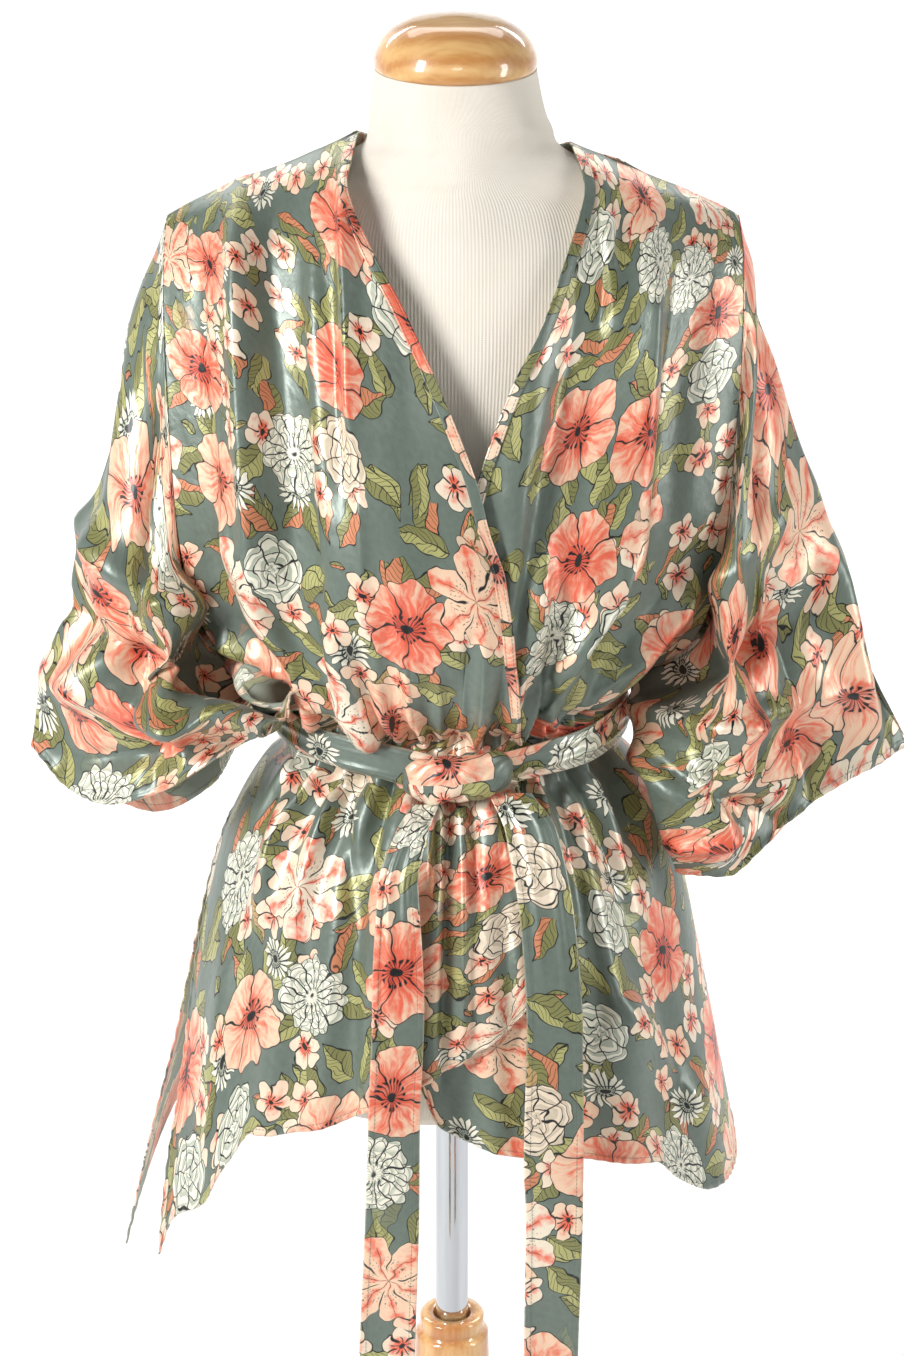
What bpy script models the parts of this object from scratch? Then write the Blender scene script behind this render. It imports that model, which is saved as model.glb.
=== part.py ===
"""Short kimono robe with its belt on a limbless dress form: closed solids in metres, +Z up, front at -Y.

Left and right in names are the wearer's, so the right front is on the -X side.
"""
import math

import bmesh
import bpy
import numpy as np
from mathutils import Matrix, Vector

WALL = 0.0012
SEAM = 0.0003
BAND_WIDTH = 0.009
BAND_GAP = 0.0011
OVERLAP_LIFT = 0.0055
RIDGE_POWER = 1.3
BACK_NECK_DROP = 0.026
SHOULDER_LEVEL = 1.338
BELT_LEVEL = 0.968
ROWS_ABOVE = 16
ROWS_BELOW = 8
BACK_SHOULDER = 13
BACK_NECK = 14
BELT_ZONE = 0.020
BELT_HALF_HEIGHT = 0.0128
SHOULDER_ROUND = 0.011
TAIL_THICKNESS = 0.0016

POLE_RADIUS = 0.013
POLE_LOW = 0.16
POLE_SOCKET = 0.09
RUNNING_GAP = 0.0003
COLLAR_TOP = 0.459
NECK_TILT = math.radians(10)
NECK_PLANE = 1.426
CAP_X = 0.0025

# Body sections: height at the side, rise to the neck, half widths, depths and half the armhole gap
BODY = {
    "level": (1.338, 1.330, 1.312, 1.285, 1.240, 1.180, 1.120, 1.065, 1.030, 1.008, 0.998, 0.990,
              0.946, 0.930, 0.900, 0.860, 0.790, 0.700, 0.610, 0.500),
    "rise": (0.075, 0.068, 0.055, 0.038, 0.016, 0.003, -0.002, -0.006, -0.010, -0.014, -0.013, -0.012,
             -0.008, -0.005, -0.002, 0.0, 0.0, 0.0, 0.0, 0.0),
    "right": (0.197, 0.198, 0.198, 0.198, 0.197, 0.195, 0.192, 0.184, 0.172, 0.150, 0.132, 0.124,
              0.124, 0.139, 0.158, 0.175, 0.193, 0.213, 0.237, 0.263),
    "left": (0.1985, 0.199, 0.200, 0.200, 0.199, 0.196, 0.192, 0.184, 0.172, 0.150, 0.132, 0.124,
             0.124, 0.137, 0.154, 0.169, 0.185, 0.204, 0.221, 0.230),
    "front": (0.0002, 0.030, 0.060, 0.088, 0.118, 0.137, 0.141, 0.134, 0.122, 0.112, 0.107, 0.103,
              0.103, 0.114, 0.129, 0.143, 0.155, 0.162, 0.165, 0.165),
    "back": (0.0002, 0.030, 0.056, 0.078, 0.100, 0.112, 0.108, 0.100, 0.096, 0.094, 0.093, 0.092,
             0.092, 0.104, 0.120, 0.135, 0.150, 0.158, 0.160, 0.160),
    "open": (0.0002, 0.008, 0.022, 0.034, 0.045, 0.052, 0.055, 0.050, 0.038, 0.022, 0.009, 0.0002,
             0.0002, 0.0002, 0.0002, 0.0002, 0.0002, 0.0002, 0.0002, 0.0002),
}

# How sharply the cloth falls away from the middle: more where it spreads into a sleeve
FALL = {"level": (1.338, 1.270, 1.190, 1.040, 0.995, 0.500), "power": (1.0, 1.10, 1.38, 1.38, 1.0, 1.0)}

# Share of a quarter turn that the body's side reaches: less where the cloth runs on into a sleeve
SWEEP = {"level": (1.338, 1.065, 1.020, 0.990, 0.500), "share": (0.50, 0.50, 0.70, 1.0, 1.0)}

# Front edges: level and x of each front's free edge, from the shoulder down
RIGHT_EDGE = {
    "level": (1.338, 1.318, 1.280, 1.254, 1.222, 1.163, 1.135,
              1.100, 1.064, 1.022, 0.968, 0.900, 0.800, 0.600),
    "x": (-0.065, -0.068, -0.048, -0.029, -0.010, 0.017, 0.024,
          0.034, 0.040, 0.042, 0.042, 0.050, 0.055, 0.055),
}
LEFT_EDGE = {
    "level": (1.338, 1.322, 1.309, 1.282, 1.254, 1.225, 1.196,
              1.170, 1.100, 1.030, 0.968, 0.900, 0.800, 0.600),
    "x": (0.081, 0.090, 0.086, 0.074, 0.060, 0.042, 0.028,
          0.018, -0.002, -0.022, -0.035, -0.035, -0.025, -0.012),
}

# Side edges as a share of the quarter turn: the right one swings forward below its slit
RIGHT_SIDE = {
    "level": (1.40, 0.895, 0.850, 0.760, 0.700, 0.620, 0.550),
    "turn": (1.0, 1.0, 0.94, 0.86, 0.80, 0.74, 0.69),
}

# Hems: share of the way from the front edge to the side, and level there
RIGHT_HEM = {
    "share": (0.0, 0.03, 0.08, 0.20, 0.29, 0.42, 0.58, 0.65, 0.72, 0.81, 0.94, 1.0),
    "level": (0.810, 0.792, 0.777, 0.752, 0.734, 0.710, 0.690, 0.685, 0.655, 0.615, 0.590, 0.556),
}
LEFT_HEM = {
    "share": (0.0, 0.03, 0.10, 0.18, 0.33, 0.48, 0.55, 0.66, 0.85, 1.0),
    "level": (0.740, 0.712, 0.695, 0.687, 0.677, 0.665, 0.642, 0.620, 0.614, 0.632),
}
BACK_HEM = {
    "turn": (-1.0, -0.9, -0.75, -0.5, 0.0, 0.5, 0.75, 0.9, 1.0),
    "level": (0.520, 0.565, 0.632, 0.685, 0.710, 0.692, 0.662, 0.640, 0.632),
}

# Folds: top and bottom level, place at each as a share of the half width, width alike, and height in metres
FRONT_FOLDS = {
    "top": (1.345, 1.330, 1.345, 1.320, 1.16, 1.10, 1.13, 1.11, 1.10, 1.12, 1.12, 1.10, 1.10, 1.09, 1.08,
            0.955, 0.955, 0.955, 0.955, 0.955, 0.955, 0.955, 0.955, 0.955, 0.955),
    "bottom": (1.06, 1.06, 1.02, 1.08, 0.955, 0.955, 0.955, 0.955, 0.955, 0.955, 0.955, 0.955, 0.955, 0.955,
               0.955, 0.60, 0.66, 0.70, 0.66, 0.55, 0.50, 0.62, 0.52, 0.70, 0.68),
    "at_top": (-0.26, -0.42, 0.32, 0.52, -0.36, -0.26, -0.12, 0.05, 0.20, 0.27, 0.38, 0.46, -0.50, -0.66,
               0.66, -0.03, 0.13, -0.27, 0.30, 0.56, 0.80, -0.12, -0.60, -0.44, 0.40),
    "at_bottom": (-0.17, -0.40, 0.15, 0.46, -0.41, -0.30, -0.17, 0.03, 0.21, 0.30, 0.44, 0.60, -0.56, -0.74,
                  0.78, -0.06, 0.16, -0.22, 0.26, 0.62, 0.90, -0.13, -0.62, -0.43, 0.36),
    "width_top": (0.070, 0.080, 0.070, 0.080, 0.070, 0.060, 0.060, 0.055, 0.055, 0.055, 0.060, 0.070, 0.070,
                  0.070, 0.070, 0.055, 0.055, 0.060, 0.055, 0.065, 0.065, 0.050, 0.060, 0.055, 0.055),
    "width_bottom": (0.070, 0.080, 0.065, 0.080, 0.055, 0.050, 0.050, 0.050, 0.050, 0.050, 0.050, 0.055,
                     0.060, 0.060, 0.060, 0.065, 0.065, 0.070, 0.060, 0.150, 0.090, 0.060, 0.080, 0.065,
                     0.055),
    "height": (0.006, 0.005, 0.007, 0.005, 0.009, 0.008, 0.006, 0.009, 0.006, 0.008, 0.008, 0.008, 0.007,
               0.006, 0.006, 0.009, 0.008, 0.009, 0.008, 0.018, 0.008, 0.006, 0.010, 0.008, 0.008),
}
BACK_FOLDS = {
    "top": (1.30, 1.30, 1.16, 1.13, 1.15, 1.13, 1.15, 1.13, 1.12, 1.12,
            0.955, 0.955, 0.955, 0.955, 0.955, 0.955, 0.955),
    "bottom": (1.04, 1.04, 0.955, 0.955, 0.955, 0.955, 0.955, 0.955, 0.955, 0.955,
               0.56, 0.60, 0.64, 0.66, 0.64, 0.60, 0.56),
    "at_top": (-0.34, 0.34, -0.46, -0.28, -0.10, 0.08, 0.26, 0.44, -0.64, 0.64,
               -0.72, -0.48, -0.24, 0.02, 0.27, 0.50, 0.73),
    "at_bottom": (-0.26, 0.26, -0.50, -0.31, -0.11, 0.09, 0.29, 0.48, -0.72, 0.72,
                  -0.78, -0.50, -0.25, 0.03, 0.29, 0.55, 0.80),
    "width_top": (0.06, 0.06, 0.05, 0.05, 0.05, 0.05, 0.05, 0.05, 0.05, 0.05,
                  0.04, 0.04, 0.04, 0.04, 0.04, 0.04, 0.04),
    "width_bottom": (0.06, 0.06, 0.034, 0.034, 0.034, 0.034, 0.034, 0.034, 0.04, 0.04,
                     0.07, 0.07, 0.07, 0.07, 0.07, 0.07, 0.07),
    "height": (0.005, 0.005, 0.008, 0.007, 0.008, 0.007, 0.008, 0.007, 0.006, 0.006,
               0.011, 0.010, 0.011, 0.009, 0.011, 0.010, 0.011),
}

# Cuff loops: share of the way round from the outer corner, along the front hem and back along the back hem
RIGHT_CUFF = {
    "share": (0.0, 0.10, 0.20, 0.31, 0.42, 0.50, 0.58, 0.70, 0.82, 0.92, 1.0),
    "x": (-0.312, -0.286, -0.255, -0.207, -0.150, -0.104, -0.150, -0.185, -0.228, -0.276, -0.312),
    "y": (-0.006, -0.030, -0.052, -0.080, -0.094, -0.099, -0.030, 0.024, 0.036, 0.024, -0.006),
    "z": (0.941, 0.918, 0.911, 0.930, 0.970, 0.999, 0.958, 0.896, 0.872, 0.898, 0.941),
}
LEFT_CUFF = {
    "share": (0.0, 0.10, 0.20, 0.31, 0.42, 0.50, 0.58, 0.70, 0.82, 0.92, 1.0),
    "x": (0.340, 0.298, 0.264, 0.230, 0.196, 0.163, 0.180, 0.212, 0.256, 0.304, 0.340),
    "y": (-0.004, -0.028, -0.046, -0.062, -0.070, -0.062, -0.006, 0.028, 0.032, 0.020, -0.004),
    "z": (0.940, 0.926, 0.908, 0.884, 0.862, 0.862, 0.874, 0.888, 0.906, 0.928, 0.940),
}

# Tails of the belt: centre line from the knot down, and width
RIGHT_TAIL = {
    "z": (0.9382, 0.925, 0.890, 0.807, 0.731, 0.652, 0.525, 0.430),
    "x": (-0.018, -0.027, -0.037, -0.037, -0.040, -0.042, -0.047, -0.049),
    "y": (-0.1285, -0.144, -0.164, -0.182, -0.187, -0.187, -0.184, -0.184),
    "width": (0.018, 0.022, 0.028, 0.036, 0.036, 0.038, 0.040, 0.040),
}
LEFT_TAIL = {
    "z": (0.9453, 0.925, 0.852, 0.785, 0.691, 0.650, 0.525, 0.440),
    "x": (0.040, 0.054, 0.067, 0.071, 0.071, 0.072, 0.071, 0.071),
    "y": (-0.1250, -0.143, -0.168, -0.180, -0.185, -0.185, -0.183, -0.183),
    "width": (0.030, 0.036, 0.038, 0.039, 0.042, 0.040, 0.039, 0.039),
}

# Torso sections: height, middle, half width, depths in front and behind, and the neck's extra depth
TORSO = {
    "z": (1.426, 1.410, 1.395, 1.385, 1.378, 1.367, 1.357, 1.347, 1.339, 1.330, 1.310, 1.250,
          1.190, 1.150, 1.100, 1.030, 0.970, 0.930, 0.880, 0.820, 0.770, 0.720, 0.690, 0.683),
    "x": (0.0025, 0.003, 0.004, 0.006, 0.006, 0.003, 0.002, 0.0, 0.0, 0.0, 0.0, 0.0,
          0.0, 0.0, 0.0, 0.0, 0.0, 0.0, 0.0, 0.0, 0.0, 0.0, 0.0, 0.0),
    "half": (0.0555, 0.0580, 0.0610, 0.0635, 0.0655, 0.0840, 0.112, 0.1405, 0.159, 0.1695, 0.178, 0.175,
             0.160, 0.150, 0.140, 0.122, 0.110, 0.122, 0.143, 0.158, 0.164, 0.160, 0.152, 0.146),
    "front": (0.053, 0.052, 0.050, 0.046, 0.040, 0.033, 0.032, 0.036, 0.040, 0.048, 0.072, 0.107,
              0.122, 0.126, 0.124, 0.106, 0.090, 0.102, 0.115, 0.124, 0.128, 0.126, 0.118, 0.112),
    "back": (0.053, 0.052, 0.050, 0.046, 0.040, 0.032, 0.030, 0.034, 0.038, 0.045, 0.062, 0.087,
             0.098, 0.098, 0.094, 0.084, 0.080, 0.0954, 0.115, 0.130, 0.134, 0.130, 0.122, 0.116),
    "neck": (0.0, 0.0, 0.002, 0.007, 0.014, 0.022, 0.026, 0.027, 0.027, 0.024, 0.012, 0.0,
             0.0, 0.0, 0.0, 0.0, 0.0, 0.0, 0.0, 0.0, 0.0, 0.0, 0.0, 0.0),
}

# Turned profiles from the top down: radius and height, outside only
CAP_PROFILE = {
    "radius": (0.016, 0.030, 0.041, 0.049, 0.0535, 0.0558, 0.056, 0.055),
    "z": (0.0345, 0.0320, 0.0272, 0.0208, 0.0140, 0.0076, 0.0030, 0.0),
}
COLUMN_PROFILE = {
    "radius": (0.0240, 0.0255, 0.0255, 0.0240, 0.0290, 0.0300, 0.0290, 0.0240, 0.0225, 0.0260, 0.0300, 0.0290,
               0.0230, 0.0330, 0.0350, 0.0350),
    "z": (0.4590, 0.4575, 0.4490, 0.4470, 0.4420, 0.4100, 0.3700, 0.3400, 0.3100, 0.2400, 0.1600, 0.1000,
          0.0750, 0.0600, 0.0500, 0.0223),
}
BASE_PROFILE = {
    "radius": (0.040, 0.080, 0.120, 0.142, 0.148, 0.150, 0.148, 0.146),
    "z": (0.0220, 0.0205, 0.0180, 0.0140, 0.0100, 0.0060, 0.0015, 0.0),
}


def smooth(table, key, column, at):
    """Values of a column at the given keys, through a curve that never overshoots its rows."""
    known = np.asarray(table[key], float)
    value = np.asarray(table[column], float)
    if known[0] > known[-1]:
        known, value = known[::-1], value[::-1]
    gap = np.diff(known)
    rate = np.diff(value) / gap
    slope = np.zeros(len(known))
    slope[0], slope[-1] = rate[0], rate[-1]
    same = rate[:-1] * rate[1:] > 0
    slope[1:-1][same] = 2 * rate[:-1][same] * rate[1:][same] / (rate[:-1][same] + rate[1:][same])
    at = np.clip(at, known[0], known[-1])
    i = np.clip(np.searchsorted(known, at) - 1, 0, len(gap) - 1)
    t = (at - known[i]) / gap[i]
    start = value[i] * (1 + 2 * t) * (1 - t) ** 2 + gap[i] * slope[i] * t * (1 - t) ** 2
    return start + value[i + 1] * t * t * (3 - 2 * t) + gap[i] * slope[i + 1] * t * t * (t - 1)


def ease(low, high, at):
    """0 below low, 1 above high, and a soft step between."""
    t = np.clip((at - low) / (high - low), 0, 1)
    return t * t * (3 - 2 * t)


def fold_height(folds, across, level):
    """How far the folds push the cloth out, by share of the half width and level."""
    out = np.zeros(np.broadcast(across, level).shape)
    for i, height in enumerate(folds["height"]):
        top, bottom = folds["top"][i], folds["bottom"][i]
        down = np.clip((top - level) / (top - bottom), 0, 1)
        middle = folds["at_top"][i] + (folds["at_bottom"][i] - folds["at_top"][i]) * down
        width = folds["width_top"][i] + (folds["width_bottom"][i] - folds["width_top"][i]) * down
        ends = ease(0.94, 1.0, level) if top > BELT_LEVEL else 1.0
        grown = (0.25 * ease(0, 0.1, down) + 0.75 * ease(0, 0.6, down)) * ends
        out = out + height * grown * np.exp(-((across - middle) / width) ** 2)
    press = 0.22 + 0.78 * ease(BELT_HALF_HEIGHT, 0.050, np.abs(level - BELT_LEVEL))
    return out * press


def half_width(turn, level):
    """Half width of the body on the side that the turn is on."""
    return np.where(turn < 0, smooth(BODY, "level", "right", level), smooth(BODY, "level", "left", level))


def side_angle(level):
    """Angle that the body's side is at."""
    return smooth(SWEEP, "level", "share", level) * math.pi / 2


def share_across(turn, level):
    """Share of the half width at a turn, which runs from -1 at the right side to 1 at the left."""
    return np.sin(turn * side_angle(level)) / np.sin(side_angle(level))


def body_point(turn, level, side):
    """Point of the body's cloth at a turn and level, on the front or the back."""
    across = share_across(turn, level)
    least = np.cos(side_angle(level))
    opening = smooth(BODY, "level", "open", level)
    depth = smooth(BODY, "level", side, level) - opening
    x = half_width(turn, level) * across
    bow = np.clip((np.cos(turn * side_angle(level)) - least) / (1 - least), 0, 1)
    y = opening + depth * bow ** smooth(FALL, "level", "power", level)
    z = level + smooth(BODY, "level", "rise", level) * np.maximum(1 - np.abs(across), 0) ** RIDGE_POWER
    z = z - SHOULDER_ROUND * ease(1.22, SHOULDER_LEVEL, level) * np.abs(across) ** 8
    return np.stack([x, -y if side == "front" else y, z], -1)


def normals(grid, wrap=False):
    """Unit normals of a grid of points, rows by columns."""
    down = np.gradient(grid, axis=0)
    if wrap:
        across = np.roll(grid, -1, 1) - np.roll(grid, 1, 1)
    else:
        across = np.gradient(grid, axis=1)
    n = np.cross(across, down)
    return n / np.maximum(np.linalg.norm(n, axis=2, keepdims=True), 1e-12)


def outward(grid, wrap=False, centre=(0.0, 0.0)):
    """Normals turned to point away from the body's axis."""
    n = normals(grid, wrap)
    away = grid[..., :2] - np.asarray(centre)
    lean = (n[..., :2] * away).sum() + n[..., 2].sum() * 0.02
    return n if lean > 0 else -n


def edge_turn(edge, level):
    """Turn at which a front's free edge runs."""
    x = smooth(edge, "level", "x", level)
    share = x / half_width(np.sign(x), level)
    return np.arcsin(share * np.sin(side_angle(level))) / side_angle(level)


def row_levels(top, bottom, above, below):
    """Levels of a panel's rows by column: its top to the belt, then from under the belt to its hem."""
    upper = np.linspace(0, 1, above)[:, None] ** 1.25
    lower = np.linspace(0, 1, below)[:, None]
    over, under = BELT_LEVEL + BELT_ZONE, BELT_LEVEL - BELT_ZONE
    return np.vstack([top + (over - top) * upper, under + (bottom - under) * lower])


def front_panel(edge, hem, sign, above, below, columns):
    """Inner points of one front, rows down and columns from its free edge to its side."""
    share = np.linspace(0, 1, columns)[None, :]
    top = np.full(columns, SHOULDER_LEVEL)
    level = row_levels(top, smooth(hem, "share", "level", share[0]), above, below)
    start = edge_turn(edge, level)
    end = -smooth(RIGHT_SIDE, "level", "turn", level) if sign < 0 else np.ones_like(level)
    turn = start + (end - start) * share
    grid = body_point(turn, level, "front")
    lift = fold_height(FRONT_FOLDS, share_across(turn, level), level) * ease(0, 0.12, 1 - np.abs(turn))
    if sign < 0:
        lift = lift + OVERLAP_LIFT * ease(-0.55, -0.22, turn) * ease(0, 0.03, SHOULDER_LEVEL - level)
    return grid + outward(grid) * lift[..., None]


def neck_turns():
    """Turns of the two points where the neck edges meet the shoulder ridge."""
    return edge_turn(RIGHT_EDGE, SHOULDER_LEVEL), edge_turn(LEFT_EDGE, SHOULDER_LEVEL)


def back_panel(above, below, shoulder, neck):
    """Inner points of the back, with columns for each shoulder and for the neck."""
    right, left = neck_turns()
    middle = np.linspace(right, left, neck)[1:-1]
    turn = np.concatenate([np.linspace(-1, right, shoulder), middle, np.linspace(left, 1, shoulder)])
    dip = np.clip(1 - ((turn - (left + right) / 2) / (left - right) * 2) ** 2, 0, 1)
    top = SHOULDER_LEVEL - BACK_NECK_DROP * dip
    level = row_levels(top, smooth(BACK_HEM, "turn", "level", turn), above, below)
    turn = np.repeat(turn[None, :], len(level), 0)
    grid = body_point(turn, level, "back")
    lift = fold_height(BACK_FOLDS, share_across(turn, level), level) * ease(0, 0.12, 1 - np.abs(turn))
    return grid + outward(grid) * lift[..., None]


def armhole(sign, above):
    """Armhole loop through the panels' side points: down the front, then up the back, and its shares."""
    level = row_levels(np.array([SHOULDER_LEVEL]), np.array([0.0]), above, 0)[:, 0]
    side = np.full(above, sign)
    loop = np.concatenate([body_point(side, level, "front"), body_point(side, level, "back")[-2:0:-1]])
    down = (SHOULDER_LEVEL - level) / (SHOULDER_LEVEL - level[-1]) / 2
    return loop, np.concatenate([down, 1 - down[-2:0:-1]])


def sleeve(cuff, sign, bow, pull, push, above, along):
    """Inner points of a sleeve from its armhole to its cuff, rows along it and columns round it."""
    start, share = armhole(sign, above)
    under = np.exp(-((share - 0.46) / 0.10) ** 2)[:, None]
    start = start + np.array([sign, 0, 0]) * (0.7 * WALL + SEAM + 0.0065 * under)
    end = np.stack([smooth(cuff, "share", c, share) for c in "xyz"], -1)
    step = np.linspace(0, 1, along)[:, None, None]
    grid = start * (1 - step) + end * step
    arch = np.sin(math.pi * step[..., 0])
    swell = arch ** 2 * np.sin(2 * math.pi * share)[None, :]
    grid[..., 0] += sign * arch * (bow * (0.5 + 0.5 * np.cos(2 * math.pi * share)) + push * under[:, 0])
    grid[..., 1] -= arch * pull * under[:, 0]
    crease = np.cos(10 * math.pi * share + 3 * step[..., 0])
    grid[..., 1] -= swell * (0.016 + 0.004 * crease)
    return grid


def belt_ring(columns):
    """Centre points and outward directions of the belt, once round the waist."""
    turn = np.arange(columns) / columns * 4 - 2
    front = np.abs(turn) <= 1
    folded = np.where(front, turn, np.sign(turn) * (2 - np.abs(turn)))
    level = np.full_like(turn, BELT_LEVEL)
    ring = np.where(front[:, None], body_point(folded, level, "front"), body_point(folded, level, "back"))
    ahead = np.roll(ring, -1, 0) - np.roll(ring, 1, 0)
    out = np.stack([ahead[:, 1], -ahead[:, 0], np.zeros(columns)], -1)
    out = out / np.linalg.norm(out, axis=1, keepdims=True)
    return turn, ring, out


def material(name, colour, roughness, metallic=0.0):
    """A Principled material of one colour."""
    mat = bpy.data.materials.new(name)
    mat.use_nodes = True
    shader = mat.node_tree.nodes["Principled BSDF"]
    shader.inputs["Base Color"].default_value = (*colour, 1)
    shader.inputs["Roughness"].default_value = roughness
    shader.inputs["Metallic"].default_value = metallic
    return mat


def add_object(name, points, faces, mat):
    """A mesh object from points and faces, its faces turned outwards."""
    mesh = bpy.data.meshes.new(name)
    mesh.from_pydata([tuple(p) for p in points], [], faces)
    bm = bmesh.new()
    bm.from_mesh(mesh)
    bmesh.ops.recalc_face_normals(bm, faces=bm.faces)
    bmesh.ops.triangulate(bm, faces=bm.faces)
    if bm.calc_volume(signed=True) < 0:
        bmesh.ops.reverse_faces(bm, faces=bm.faces)
    bm.to_mesh(mesh)
    bm.free()
    obj = bpy.data.objects.new(name, mesh)
    mesh.materials.append(mat)
    bpy.context.scene.collection.objects.link(obj)
    return obj


def add_wall(name, inner, outer, mat, wrap=False):
    """A closed wall between two grids of points, joined along every free edge."""
    rows, cols = inner.shape[:2]
    points = np.concatenate([inner.reshape(-1, 3), outer.reshape(-1, 3)])
    size = rows * cols
    last = cols if wrap else cols - 1
    faces = []
    for r in range(rows - 1):
        for c in range(last):
            d = (c + 1) % cols
            a, b, e, f = r * cols + c, r * cols + d, (r + 1) * cols + d, (r + 1) * cols + c
            faces.append((a, b, e, f))
            faces.append((size + f, size + e, size + b, size + a))
    for r in (0, rows - 1):
        for c in range(last):
            a, b = r * cols + c, r * cols + (c + 1) % cols
            faces.append((a, b, size + b, size + a) if r else (b, a, size + a, size + b))
    if not wrap:
        for c in (0, cols - 1):
            for r in range(rows - 1):
                a, b = r * cols + c, (r + 1) * cols + c
                faces.append((b, a, size + a, size + b) if c else (a, b, size + b, size + a))
    return add_object(name, points, faces, mat)


def add_cloth(name, grid, mat, wrap=False, centre=(0.0, 0.0)):
    """A cloth wall outside a grid of points."""
    return add_wall(name, grid, grid + outward(grid, wrap, centre) * WALL, mat, wrap)


def add_loft(name, rings, mat):
    """A closed solid through rings of equal length, with its two ends filled."""
    count = len(rings[0])
    points = np.concatenate(rings)
    faces = []
    for r in range(len(rings) - 1):
        for c in range(count):
            d = (c + 1) % count
            faces.append((r * count + c, r * count + d, (r + 1) * count + d, (r + 1) * count + c))
    faces.append(tuple(range(count))[::-1])
    faces.append(tuple((len(rings) - 1) * count + c for c in range(count)))
    return add_object(name, points, faces, mat)


def circle(radius, z, count):
    """A ring of points round the Z axis."""
    angle = np.arange(count) / count * 2 * math.pi
    return np.stack([radius * np.cos(angle), radius * np.sin(angle), np.full(count, z)], -1)


def right_grid():
    """The right front's points."""
    return front_panel(RIGHT_EDGE, RIGHT_HEM, -1, ROWS_ABOVE, ROWS_BELOW, 31)


def left_grid():
    """The left front's points."""
    return front_panel(LEFT_EDGE, LEFT_HEM, 1, ROWS_ABOVE, ROWS_BELOW, 29)


def back_grid():
    """The back's points."""
    return back_panel(ROWS_ABOVE, ROWS_BELOW, BACK_SHOULDER, BACK_NECK)


def build_fronts(mat):
    """Both fronts: the right one lies over the left."""
    add_cloth("front_right", right_grid(), mat)
    add_cloth("front_left", left_grid(), mat)


def build_back(mat):
    """The back, from the shoulder ridge to the hem."""
    add_cloth("back", back_grid(), mat)


def build_sleeves(mat):
    """Two open sleeves."""
    add_cloth("sleeve_right", sleeve(RIGHT_CUFF, -1, 0.0, 0.0, 0.020, ROWS_ABOVE, 9), mat, True, (-0.21, 0.0))
    add_cloth("sleeve_left", sleeve(LEFT_CUFF, 1, -0.014, 0.042, -0.006, ROWS_ABOVE, 9), mat, True, (0.22, 0.0))


def band_rows(edge, inside, out, gap):
    """Points on a panel's edge and a band's width inside it, both moved out over its wall."""
    step = inside - edge
    reach = np.minimum(BAND_WIDTH / np.linalg.norm(step, axis=-1, keepdims=True), 1)
    return np.stack([edge, edge + step * reach], 1) + out * (WALL + gap)


def build_neck_band(mat):
    """The neck band: up the right front's edge, round the back of the neck and down the left front's."""
    rows = ROWS_ABOVE - 1
    strips, outs = [], []
    for grid in (right_grid(), left_grid()):
        out = outward(grid)[:rows, :2]
        out[0] = (0, 0, 1.6)
        strips.append(band_rows(grid[:rows, 0], grid[:rows, 1], out, BAND_GAP))
        outs.append(out)
    behind = back_grid()
    neck = slice(BACK_SHOULDER, BACK_SHOULDER + BACK_NECK - 2)
    out = np.swapaxes(outward(behind)[:2, neck], 0, 1)
    strips.insert(1, band_rows(behind[0, neck], behind[1, neck], out, 2 * BAND_GAP))
    outs.insert(1, out)
    strips[0], outs[0] = strips[0][::-1], outs[0][::-1]
    inner = np.concatenate(strips)
    add_wall("neck_band", inner, inner + np.concatenate(outs) * WALL, mat)


def build_belt(mat):
    """The belt: its wrap round the waist, the half knot and two hanging tails."""
    turn, ring, out = belt_ring(56)
    reach = 0.0032 + OVERLAP_LIFT * ease(-0.75, -0.30, turn) * ease(0.75, 0.35, turn) + WALL + SEAM
    across = np.linspace(-1, 1, 4)
    inner = ring[None] + out[None] * reach[None, :, None]
    inner = np.repeat(inner, len(across), 0)
    inner[..., 2] += across[:, None] * BELT_HALF_HEIGHT
    inner = inner + out[None] * (0.0016 * (1 - across[:, None] ** 2))[..., None]
    outer = inner + out[None] * (WALL + 0.0004 * np.cos(across * math.pi)[:, None, None])
    add_wall("belt_wrap", inner, outer, mat, True)
    front = ring[np.argmin(np.abs(turn))][1]
    build_knot(mat, front)
    for name, tail in (("belt_tail_right", RIGHT_TAIL), ("belt_tail_left", LEFT_TAIL)):
        build_tail(name, tail, mat)


def build_knot(mat, front):
    """The half knot: a short twisted roll across the front of the belt."""
    rings = []
    for s in np.linspace(-1, 1, 13):
        thick = 0.0155 * math.sqrt(max(1 - (s * 0.93) ** 4, 0.02))
        angle = np.arange(16) / 16 * 2 * math.pi
        ridge = 1 + 0.10 * np.cos(3 * angle + 4 * s)
        y = front - 0.0264 + 0.010 * s * s - 0.0105 * thick / 0.0155 * ridge * np.cos(angle)
        z = 0.957 + 0.004 * s + thick * ridge * np.sin(angle)
        rings.append(np.stack([np.full(16, 0.004 + 0.038 * s), y, z], -1))
    add_loft("belt_knot", rings, mat)


def build_tail(name, tail, mat):
    """One hanging tail of the belt, a little cupped across its width."""
    height = np.linspace(tail["z"][0], tail["z"][-1], 16)
    across = np.linspace(-1, 1, 4)
    x = smooth(tail, "z", "x", height)[:, None] + across * smooth(tail, "z", "width", height)[:, None] / 2
    cup = 0.003 * np.exp(-((height - 0.80) / 0.12) ** 2)[:, None]
    y = smooth(tail, "z", "y", height)[:, None] + cup * across ** 2
    grid = np.stack([x, y + 0 * x, height[:, None] + 0 * x], -1)
    out = np.array([0, -1, 0])
    add_wall(name, grid, grid + out * TAIL_THICKNESS, mat)


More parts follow.
